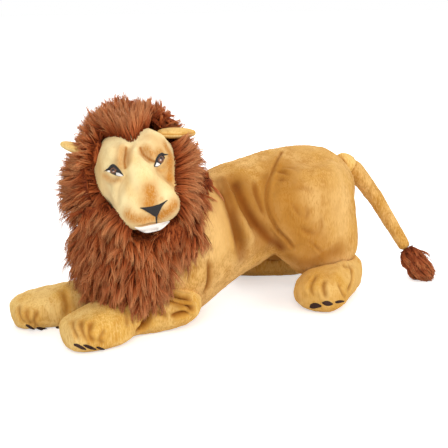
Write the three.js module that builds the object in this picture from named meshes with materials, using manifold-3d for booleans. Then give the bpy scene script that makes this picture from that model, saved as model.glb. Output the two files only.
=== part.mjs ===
// A large plush lion lying on its chest with its head turned to its left, in millimetres.
// It faces -X, its left side is -Y and +Z is up. The origin is on the floor, on the mid-plane,
// in the flat underside of the chest.
// Every sewn piece is a closed form lofted along its own length, swelling and tapering as the
// filling pushes it out. The smaller piece of each pair is trimmed by the larger one that it is
// sewn to, and also by the places that the larger one takes when the seam between them bends.
import * as THREE from "three";
import { mergeVertices } from "three/addons/utils/BufferGeometryUtils.js";
import Module from "manifold-3d";

const wasm = await Module();
wasm.setup();

// Sizes shared by all pieces
const clearance = 0.3; // between neighbours that touch
const runningClearance = 0.8; // between pieces that turn against each other
const skinRoom = 2.1; // over the face, for the patches sewn on it
const skinThickness = 4; // short pile and its backing
const patchThickness = 1.4; // sewn-on and embroidered patches stand this proud
const padThickness = 2.6; // paw pads, let into the sole
const slitLength = 64; // where each piece was filled and then closed by hand
const slitWidth = 1.6;
const overrun = 60; // how far a cutter runs past what it cuts
const floorLevel = 0;

// Torso, from the front of the chest to the rump
const chestAhead = 125;
const torsoLength = 570;
const torsoHeight = 320;
const torsoWidth = 208;

// Thigh
const thighTop = 293;
const thighDrop = 232;
const thighLength = 245;
const thighThickness = 122;
const thighCentre = 292; // behind the origin
const thighFromMid = 70;

// Hind foot
const hindFootLength = 216;
const hindFootWidth = 108;
const hindFootHeight = 88;
const hindFootSplay = 31; // degrees outward
const heelCentre = 413; // behind the origin
const heelFromMid = 56;
const hockTurn = 6; // degrees each way

// Paw pads
const toePadWidth = 25;
const toePadLength = 32;
const toePadLean = 30; // degrees forward of straight down
const solePadWidth = 50;
const solePadLength = 36;

// Foreleg
const forelegLength = 284;
const forelegWidth = 96;
const forelegHeight = 87;
const elbowBehind = 12;
const elbowFromMid = 77;
const rightForelegAhead = 41; // the right foreleg is stretched further
const rightForelegSwing = 7; // degrees further outward
const elbowTurnOut = 8; // degrees
const elbowTurnIn = 3;

// Neck: a stuffed plug with a round top that the head sits on
const neckAhead = 62;
const neckHeight = 215; // to the middle of its round top
const neckRadius = 43;
const neckBall = 50;
const neckDepth = 92;
const headTurnRange = 10; // degrees each way
const headNodRange = 5;

// Head
const headAhead = 73;
const headToLeft = -16;
const headCentreHeight = 304;
const headLength = 226;
const headHeight = 184;
const headWidth = 168;
const headBehindCentre = 95;
const headTurned = 68; // degrees to the left of straight ahead
const headTilted = 15; // degrees, its crown towards its right

// Face
const noseWidth = 52;
const noseHeight = 23;
const noseToLeft = 6;
const noseAbove = -34; // below the middle of the head
const mouthLineWidth = 3;
const mouthLineLength = 12;
const lipWidth = 62;
const lipHeight = 12;
const lipAbove = -86;
const eyeWidth = 34;
const eyeHeight = 15;
const eyeRimWidth = 2.2;
const eyeFromMid = 43;
const eyeAbove = 30;
const eyeSlant = 14; // degrees, outer corner up
const irisWidth = 8;

// Mane
const crownWidth = 288;
const crownHeight = 278;
const crownDepth = 192;
const crownBehindCentre = 152;
const crownDishDepth = 46; // how far its front falls back towards the face
const crownTilted = 6;
const crownLeftDip = 12; // how far the pile is laid flat beside each ear
const crownRightDip = 27;
const collarTop = 312;
const collarDrop = 246;
const collarWidth = 262;
const collarDepth = 236;
const collarDishDepth = 70; // how far it falls back under the chin

// Ears
const earLength = 66;
const earWidth = 52;
const earThickness = 17;
const earSeat = 9; // how far its sewn end reaches in, before it is trimmed by the skull
const earTurn = 12; // degrees each way
const earFromMid = 68;
const earAboveCentre = 56;
const leftEarRise = -16; // degrees above level in the head's own frame
const rightEarRise = 34;

// Tail
const tailRootBehind = 446;
const tailRootHeight = 266;
const tailReach = 114;
const tailDrift = 90; // towards the left
const tailDrop = 196;
const tailThickness = 42;
const tuftReach = 42;
const tuftDrift = 48;
const tuftDrop = 74;
const tuftThickness = 60;
const tailLift = 20; // degrees up

const fine = { rings: 17, sides: 18 };
const broad = { rings: 14, sides: 16 };
const middling = { rings: 12, sides: 12 };
const sparse = { rings: 14, sides: 10 };
const plain = { rings: 8, sides: 10 };
const bulgeMargin = 0.5; // what a round form bulges between its places at both ends of a turn
const turnMargin = 11; // filling keeps this clear of a larger neighbour that it turns against
const ballSides = 18;
const ballMargin = 2.6; // between the facets of the neck's round top and those of its socket
const earRoomMargin = 12; // beyond each end of the ear

const colours = {
  plush: 0xd9a14e,
  cream: 0xf3dfa4,
  mane: 0xa65a30,
  filling: 0xf4f2ec,
  pad: 0x3b2c26,
  black: 0x241a18,
  white: 0xf4f1ea,
  iris: 0x6a4630,
};

const lateral = new THREE.Vector3(0, 1, 0);
const vertical = new THREE.Vector3(0, 0, 1);
const ahead = new THREE.Vector3(-1, 0, 0);
const sides = { left: -1, right: 1 };

const group = new THREE.Group();

function piece(name, solid, colour, roughness = 0.95) {
  const material = new THREE.MeshStandardMaterial({ color: colours[colour], roughness, metalness: 0 });
  const mesh = new THREE.Mesh(geometryOf(solid), material);
  mesh.name = name;
  group.add(mesh);
}

function solidOf(geometry) {
  const bare = new THREE.BufferGeometry();
  bare.setAttribute("position", geometry.getAttribute("position").clone());
  if (geometry.index) bare.setIndex(geometry.index.clone());
  const merged = mergeVertices(bare, 1e-3);
  return new wasm.Manifold(
    new wasm.Mesh({
      numProp: 3,
      vertProperties: new Float32Array(merged.getAttribute("position").array),
      triVerts: new Uint32Array(merged.index.array),
    }),
  );
}

function geometryOf(solid) {
  const mesh = solid.getMesh();
  const geometry = new THREE.BufferGeometry();
  geometry.setAttribute("position", new THREE.BufferAttribute(mesh.vertProperties, mesh.numProp));
  geometry.setIndex(new THREE.BufferAttribute(mesh.triVerts, 1));
  geometry.computeVertexNormals();
  return geometry;
}

function radians(degrees) {
  return THREE.MathUtils.degToRad(degrees);
}

// The largest body of a solid, without the crumbs that a cut can leave
function largest(solid) {
  const bodies = solid.decompose();
  return bodies.reduce((best, body) => (body.volume() > best.volume() ? body : best));
}

// The surface moved out along its normals, or in where the distance is negative
function offset(geometry, distance) {
  const moved = geometry.clone();
  moved.computeVertexNormals();
  const position = moved.getAttribute("position");
  const normal = moved.getAttribute("normal");
  const point = new THREE.Vector3();
  const outward = new THREE.Vector3();
  for (let i = 0; i < position.count; i++) {
    point.fromBufferAttribute(position, i);
    outward.fromBufferAttribute(normal, i);
    point.addScaledVector(outward, distance);
    position.setXYZ(i, point.x, point.y, point.z);
  }
  return moved;
}

// A smooth curve through one column of a table, whose first column is the share of the way along
function readColumn(rows, column, share) {
  const last = rows.length - 1;
  let i = 0;
  while (i < last - 1 && rows[i + 1][0] < share) i++;
  const at = (k) => rows[Math.min(Math.max(k, 0), last)];
  const span = at(i + 1)[0] - at(i)[0];
  const slope = (k) => ((at(k + 1)[column] - at(k - 1)[column]) * span) / (at(k + 1)[0] - at(k - 1)[0]);
  const t = Math.min(Math.max((share - at(i)[0]) / span, 0), 1);
  const u = 1 - t;
  const through = at(i)[column] * (1 + 2 * t) * u * u + at(i + 1)[column] * (3 - 2 * t) * t * t;
  return through + slope(i) * t * u * u - slope(i + 1) * t * t * u;
}

// A closed form lofted through a table. Each row is the share of the way along, the centre x, y
// and z, the half-width, the half-height and the taper, which is how much wider the section is
// at its top than at its bottom. The squares of the half sizes are blended, and the rings bunch
// up towards both ends, so that the ends close as round domes. A boxy section has fuller corners.
function loft(rows, side, detail, boxyShare = 0) {
  const squared = rows.map((row) => [row[0], row[4] ** 2, row[5] ** 2]);
  const centreAt = (share) => {
    return new THREE.Vector3(...[1, 2, 3].map((column) => readColumn(rows, column, share)));
  };
  const half = (column, share) => Math.sqrt(Math.max(0, readColumn(squared, column, share)));
  const nudge = 1 / 500;
  const points = [centreAt(0)];
  for (let i = 1; i < detail.rings; i++) {
    const share = (1 - Math.cos((Math.PI * i) / detail.rings)) / 2;
    const centre = centreAt(share);
    const along = centreAt(share + nudge).sub(centreAt(share - nudge)).normalize();
    const across = side.clone().addScaledVector(along, -side.dot(along)).normalize();
    const up = new THREE.Vector3().crossVectors(along, across);
    const [halfWidth, halfHeight, taper] = [half(1, share), half(2, share), readColumn(rows, 6, share)];
    for (let k = 0; k < detail.sides; k++) {
      const angle = (2 * Math.PI * k) / detail.sides;
      const fuller = 1 + boxyShare * Math.sin(2 * angle) ** 2;
      const wide = halfWidth * fuller * Math.cos(angle) * (1 + taper * Math.sin(angle));
      const high = halfHeight * fuller * Math.sin(angle);
      points.push(centre.clone().addScaledVector(across, wide).addScaledVector(up, high));
    }
  }
  points.push(centreAt(1));
  return closeRings(points, detail);
}

function closeRings(points, { rings, sides: around }) {
  const index = [];
  const start = (ring) => 1 + (ring - 1) * around;
  for (let k = 0; k < around; k++) {
    const next = (k + 1) % around;
    index.push(0, start(1) + next, start(1) + k);
    for (let ring = 1; ring < rings - 1; ring++) {
      const [a, b] = [start(ring), start(ring + 1)];
      index.push(a + k, a + next, b + k, a + next, b + next, b + k);
    }
    index.push(start(rings), start(rings - 1) + k, start(rings - 1) + next);
  }
  const geometry = new THREE.BufferGeometry();
  geometry.setAttribute("position", new THREE.Float32BufferAttribute(points.flatMap((p) => p.toArray()), 3));
  geometry.setIndex(index);
  if (solidOf(geometry).volume() < 0) geometry.setIndex(index.reverse());
  return geometry;
}

// Pushes the surface about as a thumb does: each push moves what lies within its reach
function press(geometry, pushes) {
  const position = geometry.getAttribute("position");
  const point = new THREE.Vector3();
  const apart = new THREE.Vector3();
  for (const { at, reach, by } of pushes) {
    for (let i = 0; i < position.count; i++) {
      point.fromBufferAttribute(position, i);
      apart.subVectors(point, at).divide(reach);
      point.addScaledVector(by, Math.exp(-apart.lengthSq()));
      position.setXYZ(i, point.x, point.y, point.z);
    }
  }
  return geometry;
}

function above(solid, level) {
  const reach = torsoLength * 4;
  const slab = new THREE.BoxGeometry(reach, reach, reach);
  slab.translate(0, 0, level + reach / 2);
  return solid.intersect(solidOf(slab));
}

function turnAbout(pivot, axis, degrees) {
  return new THREE.Matrix4()
    .makeTranslation(pivot)
    .multiply(new THREE.Matrix4().makeRotationAxis(axis, radians(degrees)))
    .multiply(new THREE.Matrix4().makeTranslation(pivot.clone().negate()));
}

function turnsAbout(pivot, axis, degrees) {
  return degrees.map((turn) => turnAbout(pivot, axis, turn));
}

// Every place that the forms take under the given moves, as one solid
function swept(forms, moves) {
  const places = forms.flatMap((form) => moves.map((move) => solidOf(form.clone().applyMatrix4(move))));
  return places.reduce((all, place) => all.add(place));
}

// The same for one form that is round on every side, with the steps between its places filled
function sweptRound(form, moves) {
  return wasm.Manifold.hull(moves.map((move) => solidOf(form.clone().applyMatrix4(move))));
}

// Torso. Each row: share of the length, then its top and its underside as shares of the height,
// its half-width as a share of the width, and its taper.
const torsoShares = [
  [0, 0.41, 0.41, 0, 0.1],
  [0.023, 0.556, 0.22, 0.24, 0.12],
  [0.061, 0.64, 0.04, 0.356, 0.16],
  [0.114, 0.69, -0.045, 0.42, 0.24],
  [0.219, 0.8, -0.035, 0.486, 0.26],
  [0.325, 0.845, 0.115, 0.5, 0.18],
  [0.467, 0.93, 0.2, 0.47, 0.06],
  [0.605, 0.978, 0.31, 0.44, 0],
  [0.696, 0.997, 0.365, 0.42, 0],
  [0.777, 1, 0.37, 0.41, 0],
  [0.868, 0.978, 0.4, 0.385, 0],
  [0.947, 0.92, 0.47, 0.32, 0],
  [0.988, 0.84, 0.58, 0.2, 0],
  [1, 0.71, 0.71, 0, 0],
];

function torsoForm(detail) {
  const rows = torsoShares.map(([along, top, bottom, half, taper]) => [
    along,
    along * torsoLength - chestAhead,
    0,
    (torsoHeight * (top + bottom)) / 2,
    torsoWidth * half,
    (torsoHeight * (top - bottom)) / 2,
    taper,
  ]);
  return loft(rows, lateral, detail);
}

// Thigh. Each row: share of the drop, then its middle behind the thigh's centre and its half
// depth as shares of the length, and its half-thickness as a share of the thickness.
const thighShares = [
  [0, -0.1, 0, 0],
  [0.03, -0.1, 0.22, 0.24],
  [0.12, -0.08, 0.41, 0.4],
  [0.25, -0.06, 0.48, 0.46],
  [0.39, -0.04, 0.495, 0.49],
  [0.54, 0.04, 0.46, 0.49],
  [0.68, 0.12, 0.415, 0.48],
  [0.79, 0.2, 0.36, 0.45],
  [0.89, 0.28, 0.28, 0.4],
  [0.96, 0.32, 0.19, 0.29],
  [1, 0.33, 0, 0],
];

function thighForm(hand, detail) {
  const rows = thighShares.map(([down, back, half, thick]) => [
    down,
    thighCentre + thighLength * back,
    hand * thighFromMid,
    thighTop - thighDrop * down,
    thighThickness * thick,
    thighLength * half,
    0,
  ]);
  return loft(rows, lateral, detail);
}

// Hind foot. Each row: share of the length, then its middle as a share of the height, its
// half-width as a share of the width and its half-height as a share of the height.
const pawBoxyShare = 0.09;
const hindFootShares = [
  [0, 0.56, 0, 0],
  [0.05, 0.56, 0.3, 0.37],
  [0.15, 0.54, 0.42, 0.5],
  [0.35, 0.5, 0.46, 0.53],
  [0.6, 0.49, 0.48, 0.52],
  [0.8, 0.45, 0.5, 0.47],
  [0.92, 0.41, 0.47, 0.4],
  [0.975, 0.38, 0.34, 0.3],
  [1, 0.37, 0, 0],
];

function hindFootHeading(hand) {
  return ahead.clone().applyAxisAngle(vertical, -hand * radians(hindFootSplay));
}

function hindFootForm(hand, detail) {
  const heading = hindFootHeading(hand);
  const across = heading.clone().cross(vertical);
  const rows = hindFootShares.map(([along, middle, half, high]) => [
    along,
    heelCentre + heading.x * hindFootLength * along,
    hand * heelFromMid + heading.y * hindFootLength * along,
    hindFootHeight * middle,
    hindFootWidth * half,
    hindFootHeight * high,
    0,
  ]);
  return loft(rows, across, detail, pawBoxyShare);
}

const hockShare = 0.18; // the foot turns this far from its heel
const pawTipShare = 0.36; // how high the tip of a paw is

// Foreleg, from the elbow to the tip of the paw. Each row: share of the length, its middle
// sideways as a share of the width, outward positive, its middle as a share of the height, then
// the half-width and the half-height as shares of the width and the height, and its taper. The
// paw slopes down to the toes and is broadest at its sole.
const forelegShares = [
  [0, 0, 0.57, 0, 0, 0],
  [0.04, -0.01, 0.57, 0.24, 0.3, 0],
  [0.12, -0.05, 0.56, 0.37, 0.45, 0],
  [0.26, -0.13, 0.53, 0.43, 0.51, 0],
  [0.36, -0.23, 0.51, 0.43, 0.52, 0],
  [0.44, -0.31, 0.49, 0.41, 0.49, 0],
  [0.52, -0.32, 0.48, 0.43, 0.49, -0.05],
  [0.68, -0.22, 0.44, 0.48, 0.45, -0.14],
  [0.83, -0.13, 0.39, 0.5, 0.4, -0.22],
  [0.93, -0.09, 0.345, 0.47, 0.34, -0.26],
  [0.98, -0.08, 0.315, 0.36, 0.255, -0.22],
  [1, -0.08, 0.31, 0, 0, 0],
];

const elbowShare = 0.125; // the foreleg turns this far from its end

function elbow(hand) {
  const shift = hand === sides.right ? rightForelegAhead : 0;
  const x = elbowBehind - shift - forelegLength * elbowShare;
  return new THREE.Vector3(x, hand * elbowFromMid, forelegHeight / 2);
}

function forelegForm(hand, detail) {
  const shift = hand === sides.right ? rightForelegAhead : 0;
  const rows = forelegShares.map(([along, outward, middle, half, high, taper]) => [
    along,
    elbowBehind - shift - forelegLength * along,
    hand * (elbowFromMid + forelegWidth * outward),
    forelegHeight * middle,
    forelegWidth * half,
    forelegHeight * high,
    taper,
  ]);
  return loft(rows, lateral, detail, pawBoxyShare).applyMatrix4(forelegPlace(hand));
}

function forelegPlace(hand) {
  return turnAbout(elbow(hand), vertical, hand === sides.right ? -rightForelegSwing : 0);
}

function forelegHeading(hand) {
  return ahead.clone().transformDirection(forelegPlace(hand));
}

function pawTip(hand) {
  const shift = hand === sides.right ? rightForelegAhead : 0;
  const outward = forelegShares[forelegShares.length - 1][1];
  const y = hand * (elbowFromMid + forelegWidth * outward);
  const tip = new THREE.Vector3(elbowBehind - shift - forelegLength, y, forelegHeight * pawTipShare);
  return tip.applyMatrix4(forelegPlace(hand));
}

// The neck turns in the torso about an upright axis, and the head nods on its round top
const neckTop = new THREE.Vector3(-neckAhead, 0, neckHeight);

const neckFootShare = 0.8; // its foot is rounded off

function neckForm(extra) {
  const [stem, ball] = [neckRadius + extra, neckBall + extra];
  const meeting = Math.asin(stem / ball);
  const profile = [
    new THREE.Vector2(0, -neckDepth - extra),
    new THREE.Vector2(stem * neckFootShare, -neckDepth - extra),
    new THREE.Vector2(stem, -neckDepth * neckFootShare),
  ];
  const steps = ballSides / 3;
  for (let i = 0; i <= steps; i++) {
    const angle = (Math.PI - meeting) * (1 - i / steps);
    profile.push(new THREE.Vector2(i === steps ? 0 : ball * Math.sin(angle), ball * Math.cos(angle)));
  }
  const geometry = new THREE.LatheGeometry(profile, ballSides);
  geometry.rotateX(Math.PI / 2);
  return geometry.translate(neckTop.x, neckTop.y, neckTop.z);
}

// The head's own frame: x points where the muzzle points, y to the head's left, z to its crown
function headFrame(tilted) {
  return new THREE.Matrix4()
    .makeTranslation(-headAhead, headToLeft * sides.left, headCentreHeight)
    .multiply(new THREE.Matrix4().makeRotationZ(Math.PI + radians(headTurned)))
    .multiply(new THREE.Matrix4().makeRotationX(radians(tilted)));
}

const headPlace = headFrame(headTilted);
const nodAxis = new THREE.Vector3(Math.sin(radians(headTurned)), -Math.cos(radians(headTurned)), 0);

// Head. Each row: share of the length, then its middle as a share of the height, its half-width
// as a share of the width and its half-height as a share of the height.
const headShares = [
  [0, 0.03, 0, 0],
  [0.065, 0.03, 0.26, 0.25],
  [0.22, 0.01, 0.44, 0.42],
  [0.4, -0.01, 0.5, 0.49],
  [0.53, -0.02, 0.49, 0.495],
  [0.62, -0.04, 0.455, 0.46],
  [0.7, -0.09, 0.395, 0.39],
  [0.78, -0.19, 0.36, 0.31],
  [0.86, -0.27, 0.365, 0.26],
  [0.93, -0.3, 0.32, 0.21],
  [0.98, -0.315, 0.22, 0.135],
  [1, -0.32, 0, 0],
];

// Where the face swells and dips. Each row: where, as shares of the head's length ahead of its
// centre, half its width and half its height; how far the push reaches; and how far it goes.
const faceShares = {
  brow: [[0.24, 0.46, 0.66], [0.13, 0.36, 0.3], [0.06, 0, 0.07]],
  socket: [[0.27, 0.36, 0.27], [0.1, 0.18, 0.14], [-0.05, 0, 0]],
  cheek: [[0.2, 0.76, -0.1], [0.14, 0.3, 0.34], [0.03, 0.05, 0]],
  lobe: [[0.48, 0.34, -0.56], [0.12, 0.3, 0.26], [0.03, 0.07, -0.02]],
  notch: [[0.27, 0, 0.8], [0.1, 0.18, 0.22], [-0.05, 0, -0.07]],
  bridge: [[0.34, 0, 0.12], [0.14, 0.24, 0.48], [0.07, 0, 0]],
  nose: [[0.56, 0, -0.42], [0.07, 0.3, 0.14], [0.03, 0, 0.03]],
  groove: [[0.57, 0, -0.72], [0.08, 0.08, 0.24], [-0.03, 0, 0]],
  chin: [[0.42, 0, -0.95], [0.1, 0.34, 0.13], [0.02, 0, -0.07]],
};

function facePushes() {
  const scaled = ([x, y, z]) => new THREE.Vector3(x * headLength, (y * headWidth) / 2, (z * headHeight) / 2);
  return Object.values(faceShares).flatMap(([at, reach, by]) => {
    const hands = at[1] === 0 ? [1] : [1, -1];
    return hands.map((hand) => ({
      at: scaled([at[0], at[1] * hand, at[2]]),
      reach: scaled(reach),
      by: scaled([by[0], by[1] * hand, by[2]]),
    }));
  });
}

function headForm(detail) {
  const rows = headShares.map(([along, middle, half, high]) => [
    along,
    headLength * along - headBehindCentre,
    0,
    headHeight * middle,
    headWidth * half,
    headHeight * high,
    0,
  ]);
  return press(loft(rows, lateral, detail), facePushes()).applyMatrix4(headPlace);
}

// The crown of the mane, sewn round the face. Each row: share of the depth, then its middle
// sideways and upward, its half-width and its half-height as shares of the width and height.
const crownShares = [
  [0, -0.03, -0.1, 0, 0],
  [0.06, -0.03, -0.09, 0.22, 0.23],
  [0.2, -0.03, -0.05, 0.36, 0.37],
  [0.45, -0.03, -0.02, 0.47, 0.465],
  [0.66, -0.03, -0.01, 0.5, 0.5],
  [0.84, -0.03, -0.01, 0.49, 0.49],
  [0.94, -0.03, -0.01, 0.42, 0.43],
  [0.985, -0.02, -0.01, 0.3, 0.31],
  [1, -0.01, -0.01, 0, 0],
];

const crownTaperShare = -0.18;
const crownDishShares = [0.6, 0.55]; // across and up the face
const crownDipShares = [0.8, 0.3, 0.24]; // along the depth, across and up

function crownForm(detail) {
  const rows = crownShares.map(([along, sideways, upward, half, high]) => [
    along,
    crownDepth * along - crownBehindCentre,
    crownWidth * sideways,
    crownHeight * upward,
    crownWidth * half,
    crownHeight * high,
    crownTaperShare,
  ]);
  const front = crownDepth - crownBehindCentre;
  const crownSize = new THREE.Vector3(crownDepth, crownWidth, crownHeight);
  const dish = {
    at: new THREE.Vector3(front, 0, 0),
    reach: new THREE.Vector3(crownDishDepth, headWidth * crownDishShares[0], headHeight * crownDishShares[1]),
    by: new THREE.Vector3(-crownDishDepth, 0, 0),
  };
  const besideEars = [[crownLeftDip, 1], [crownRightDip, -1]].map(([dip, hand]) => ({
    at: new THREE.Vector3(0, (hand * crownWidth) / 2, earAboveCentre),
    reach: new THREE.Vector3(...crownDipShares).multiply(crownSize),
    by: new THREE.Vector3(0, -hand * dip, 0),
  }));
  return press(loft(rows, lateral, detail), [dish, ...besideEars]).applyMatrix4(headFrame(crownTilted));
}

// The collar of the mane, sewn round the neck and down the chest. Each row: share of the drop,
// its middle behind and to the right of the origin and its half-depth and half-width, as shares
// of the depth and the width.
const collarShares = [
  [0, 0.02, 0, 0, 0],
  [0.04, 0.02, 0, 0.2, 0.2],
  [0.14, -0.02, 0, 0.36, 0.39],
  [0.3, -0.19, 0, 0.49, 0.5],
  [0.46, -0.34, -0.01, 0.53, 0.53],
  [0.62, -0.45, -0.06, 0.47, 0.51],
  [0.76, -0.49, -0.12, 0.39, 0.44],
  [0.88, -0.49, -0.17, 0.3, 0.35],
  [0.96, -0.48, -0.19, 0.2, 0.24],
  [1, -0.48, -0.19, 0, 0],
];

// The hollow under the chin: its middle and its reach, as shares of the head
const collarDishShares = { ahead: 0.5, up: -0.42, across: 0.62, high: 0.36 };

function collarForm(detail) {
  const rows = collarShares.map(([down, back, right, deep, half]) => [
    down,
    collarDepth * back,
    collarWidth * right,
    collarTop - collarDrop * down,
    collarWidth * half,
    collarDepth * deep,
    0,
  ]);
  const forward = new THREE.Vector3(1, 0, 0).transformDirection(headPlace);
  const { ahead: front, up, across, high } = collarDishShares;
  const dish = {
    at: new THREE.Vector3(headLength * front, 0, headHeight * up).applyMatrix4(headPlace),
    reach: new THREE.Vector3(headWidth * across, headWidth * across, headHeight * high),
    by: forward.multiplyScalar(-collarDishDepth),
  };
  return press(loft(rows, lateral, detail), [dish]);
}

// Tail. It leaves the rump through a short root, with a crease where it bends sideways. Each row:
// share of the way along, then how far back, to the left and down it has come, as shares of the
// reach, the drift and the drop, and its half-thickness as a share.
const tailShares = [
  [0, 0.04, 0, 0.01, 0],
  [0.03, 0.08, 0, 0.02, 0.34],
  [0.08, 0.16, 0, 0.06, 0.49],
  [0.2, 0.33, 0.04, 0.16, 0.48],
  [0.36, 0.53, 0.12, 0.31, 0.44],
  [0.5, 0.69, 0.26, 0.46, 0.41],
  [0.65, 0.83, 0.48, 0.66, 0.37],
  [0.8, 0.93, 0.76, 0.85, 0.33],
  [0.94, 0.99, 0.96, 0.98, 0.3],
  [1, 1, 1, 1, 0],
];

function tailForm(detail) {
  const rows = tailShares.map(([along, reach, drift, drop, half]) => [
    along,
    tailRootBehind + tailReach * reach,
    -tailDrift * drift,
    tailRootHeight - tailDrop * drop,
    tailThickness * half,
    tailThickness * half,
    0,
  ]);
  return loft(rows, lateral, detail);
}

const tailRootShares = [
  [0, -0.22, -0.06, 0],
  [0.1, -0.19, -0.05, 0.34],
  [0.4, -0.08, -0.02, 0.52],
  [0.75, 0.08, 0.03, 0.51],
  [0.94, 0.19, 0.07, 0.42],
  [1, 0.22, 0.09, 0],
];

function tailRootForm(detail) {
  const rows = tailRootShares.map(([along, reach, drop, half]) => [
    along,
    tailRootBehind + tailReach * reach,
    0,
    tailRootHeight - tailDrop * drop,
    tailThickness * half,
    tailThickness * half,
    0,
  ]);
  return loft(rows, lateral, detail);
}

const tuftShares = [
  [0, -0.12, -0.1, -0.14, 0],
  [0.05, -0.08, -0.06, -0.09, 0.26],
  [0.25, 0.12, 0.12, 0.16, 0.42],
  [0.5, 0.36, 0.42, 0.47, 0.5],
  [0.72, 0.6, 0.7, 0.7, 0.44],
  [0.9, 0.86, 0.92, 0.84, 0.26],
  [1, 1, 1, 0.9, 0],
];

function tuftForm(detail) {
  const rows = tuftShares.map(([along, reach, drift, drop, half]) => [
    along,
    tailRootBehind + tailReach + tuftReach * reach,
    -tailDrift - tuftDrift * drift,
    tailRootHeight - tailDrop - tuftDrop * drop,
    tuftThickness * half,
    tuftThickness * half,
    0,
  ]);
  return loft(rows, lateral, detail);
}

// Ears. Each row: share of the length, then the half-width and the half-thickness as shares.
const earShares = [
  [0, 0, 0],
  [0.05, 0.2, 0.3],
  [0.25, 0.4, 0.48],
  [0.5, 0.5, 0.5],
  [0.75, 0.44, 0.44],
  [0.93, 0.24, 0.27],
  [1, 0, 0],
];

// An ear's own frame: x forward, y outward from the skull and z to its back. The left one droops.
function earPlace(hand) {
  const rise = hand === sides.left ? leftEarRise : rightEarRise;
  return headPlace
    .clone()
    .multiply(new THREE.Matrix4().makeTranslation(0, -hand * earFromMid, earAboveCentre))
    .multiply(new THREE.Matrix4().makeRotationX(-hand * radians(rise)))
    .multiply(new THREE.Matrix4().makeRotationZ(hand === sides.left ? 0 : Math.PI));
}

function earForm(hand, detail) {
  const rows = earShares.map(([along, half, thick]) => [
    along,
    0,
    (earLength + earSeat) * along - earSeat,
    0,
    earWidth * half,
    earThickness * thick,
    0,
  ]);
  return loft(rows, new THREE.Vector3(1, 0, 0), detail).applyMatrix4(earPlace(hand));
}

// Half of space on one side of a plane through a frame's origin, moved along its z
function halfSpace(frame, side, away) {
  const reach = overrun * 4;
  const slab = new THREE.BoxGeometry(reach, reach, reach);
  slab.translate(0, 0, side * (away + reach / 2));
  return solidOf(slab.applyMatrix4(frame));
}

function prismAlong(frame, shape, length) {
  const prism = new THREE.ExtrudeGeometry(shape, { depth: length, bevelEnabled: false, curveSegments: 5 });
  return solidOf(prism.applyMatrix4(frame));
}

function ellipse(width, height, extra = 0) {
  return new THREE.Shape().absellipse(0, 0, width / 2 + extra, height / 2 + extra, 0, Math.PI * 2);
}

// Builds a piece from its form, its cutters and its filling. The cutters are a function of how
// much they are grown. A slit through the skin is where it was filled and sewn shut by hand.
function stuffed(name, form, colour, cutters, slit, { detail, lining }, pads = []) {
  const trimmed = (inset, coarse, cutterSolids) => {
    const whole = above(solidOf(offset(form(coarse), -inset)), floorLevel + inset);
    return cutterSolids.reduce((rest, cutter) => rest.subtract(cutter), whole);
  };
  const outer = trimmed(0, detail, cutters.outer);
  const within = (depth) => above(solidOf(offset(form(detail), -depth)), floorLevel + depth);
  const inner = (extra) => {
    const inset = skinThickness + extra;
    const whole = trimmed(inset, lining, cutters.inner(inset));
    return lining === detail ? whole : whole.intersect(within(skinThickness / 2 + extra));
  };
  let skin = outer.subtract(inner(0)).subtract(solidOf(slit));
  let filling = inner(clearance);
  for (const pad of pads) {
    const inlay = pad.cutter(0).intersect(outer).subtract(within(padThickness));
    piece(`${name}_${pad.name}`, largest(inlay), "pad", 0.7);
    const pocket = pad.cutter(clearance).subtract(within(padThickness + clearance));
    skin = skin.subtract(pocket);
    filling = filling.subtract(pocket);
  }
  piece(`${name}_skin`, largest(skin), colour);
  piece(`${name}_filling`, largest(filling), "filling");
}

// The pads of a paw: three under the toes and one under the middle of the sole. The toe pads
// wrap up over the front edge of the sole.
function pawPads(tip, heading, width) {
  const across = heading.clone().cross(vertical);
  const toes = toeShares.map(([sideways, back], k) => ({
    name: `toe_pad_${k + 1}`,
    at: tip
      .clone()
      .addScaledVector(across, width * sideways)
      .addScaledVector(heading, -width * back),
    size: [toePadWidth, toePadLength],
    lean: toePadLean,
  }));
  const middle = {
    name: "sole_pad",
    at: tip.clone().addScaledVector(heading, -width * solePadShare),
    size: [solePadWidth, solePadLength],
    lean: 0,
  };
  return [...toes, middle].map(({ name, at, size, lean }) => ({
    name,
    cutter: (extra) => {
      const down = vertical.clone().negate();
      const pointing = down.applyAxisAngle(across, radians(lean));
      const forward = new THREE.Vector3().crossVectors(pointing, across);
      const frame = new THREE.Matrix4().makeBasis(across, forward.negate(), pointing).setPosition(at);
      if (frame.determinant() < 0) frame.multiply(new THREE.Matrix4().makeScale(1, -1, 1));
      return prismAlong(frame, ellipse(size[0], size[1], extra), overrun);
    },
  }));
}

// Toe pads: sideways from the middle of the paw and back from its tip, as shares of its width
const toeShares = [
  [-0.3, 0.42],
  [0, 0.32],
  [0.3, 0.42],
];
const solePadShare = 0.85;

function slitAt(x, y, z, headingDegrees = 0) {
  const slit = new THREE.BoxGeometry(slitLength, slitWidth, overrun);
  slit.rotateZ(radians(headingDegrees));
  return slit.translate(x, y, z);
}

const grownTorso = (extra) => offset(torsoForm(broad), extra);
const grownThigh = (hand, extra) => offset(thighForm(hand, middling), extra);
const grownHead = (extra) => offset(headForm(fine), extra);
const eachWay = (range) => [-range, 0, range];
const limbDetail = { detail: middling, lining: middling };

// Where the opening for the filling is: along the torso, and how far up it reaches
const bellySlitShares = [0.655, 0.34];

function buildTorso() {
  const neckHole = (extra) => [solidOf(neckForm(runningClearance + extra))];
  const cutters = { outer: neckHole(0), inner: neckHole };
  const [along, up] = bellySlitShares;
  const slit = slitAt(torsoLength * along - chestAhead, 0, torsoHeight * up);
  stuffed("torso", torsoForm, "plush", cutters, slit, { detail: broad, lining: sparse });
  piece("neck", solidOf(neckForm(0)), "plush");
}

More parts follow.
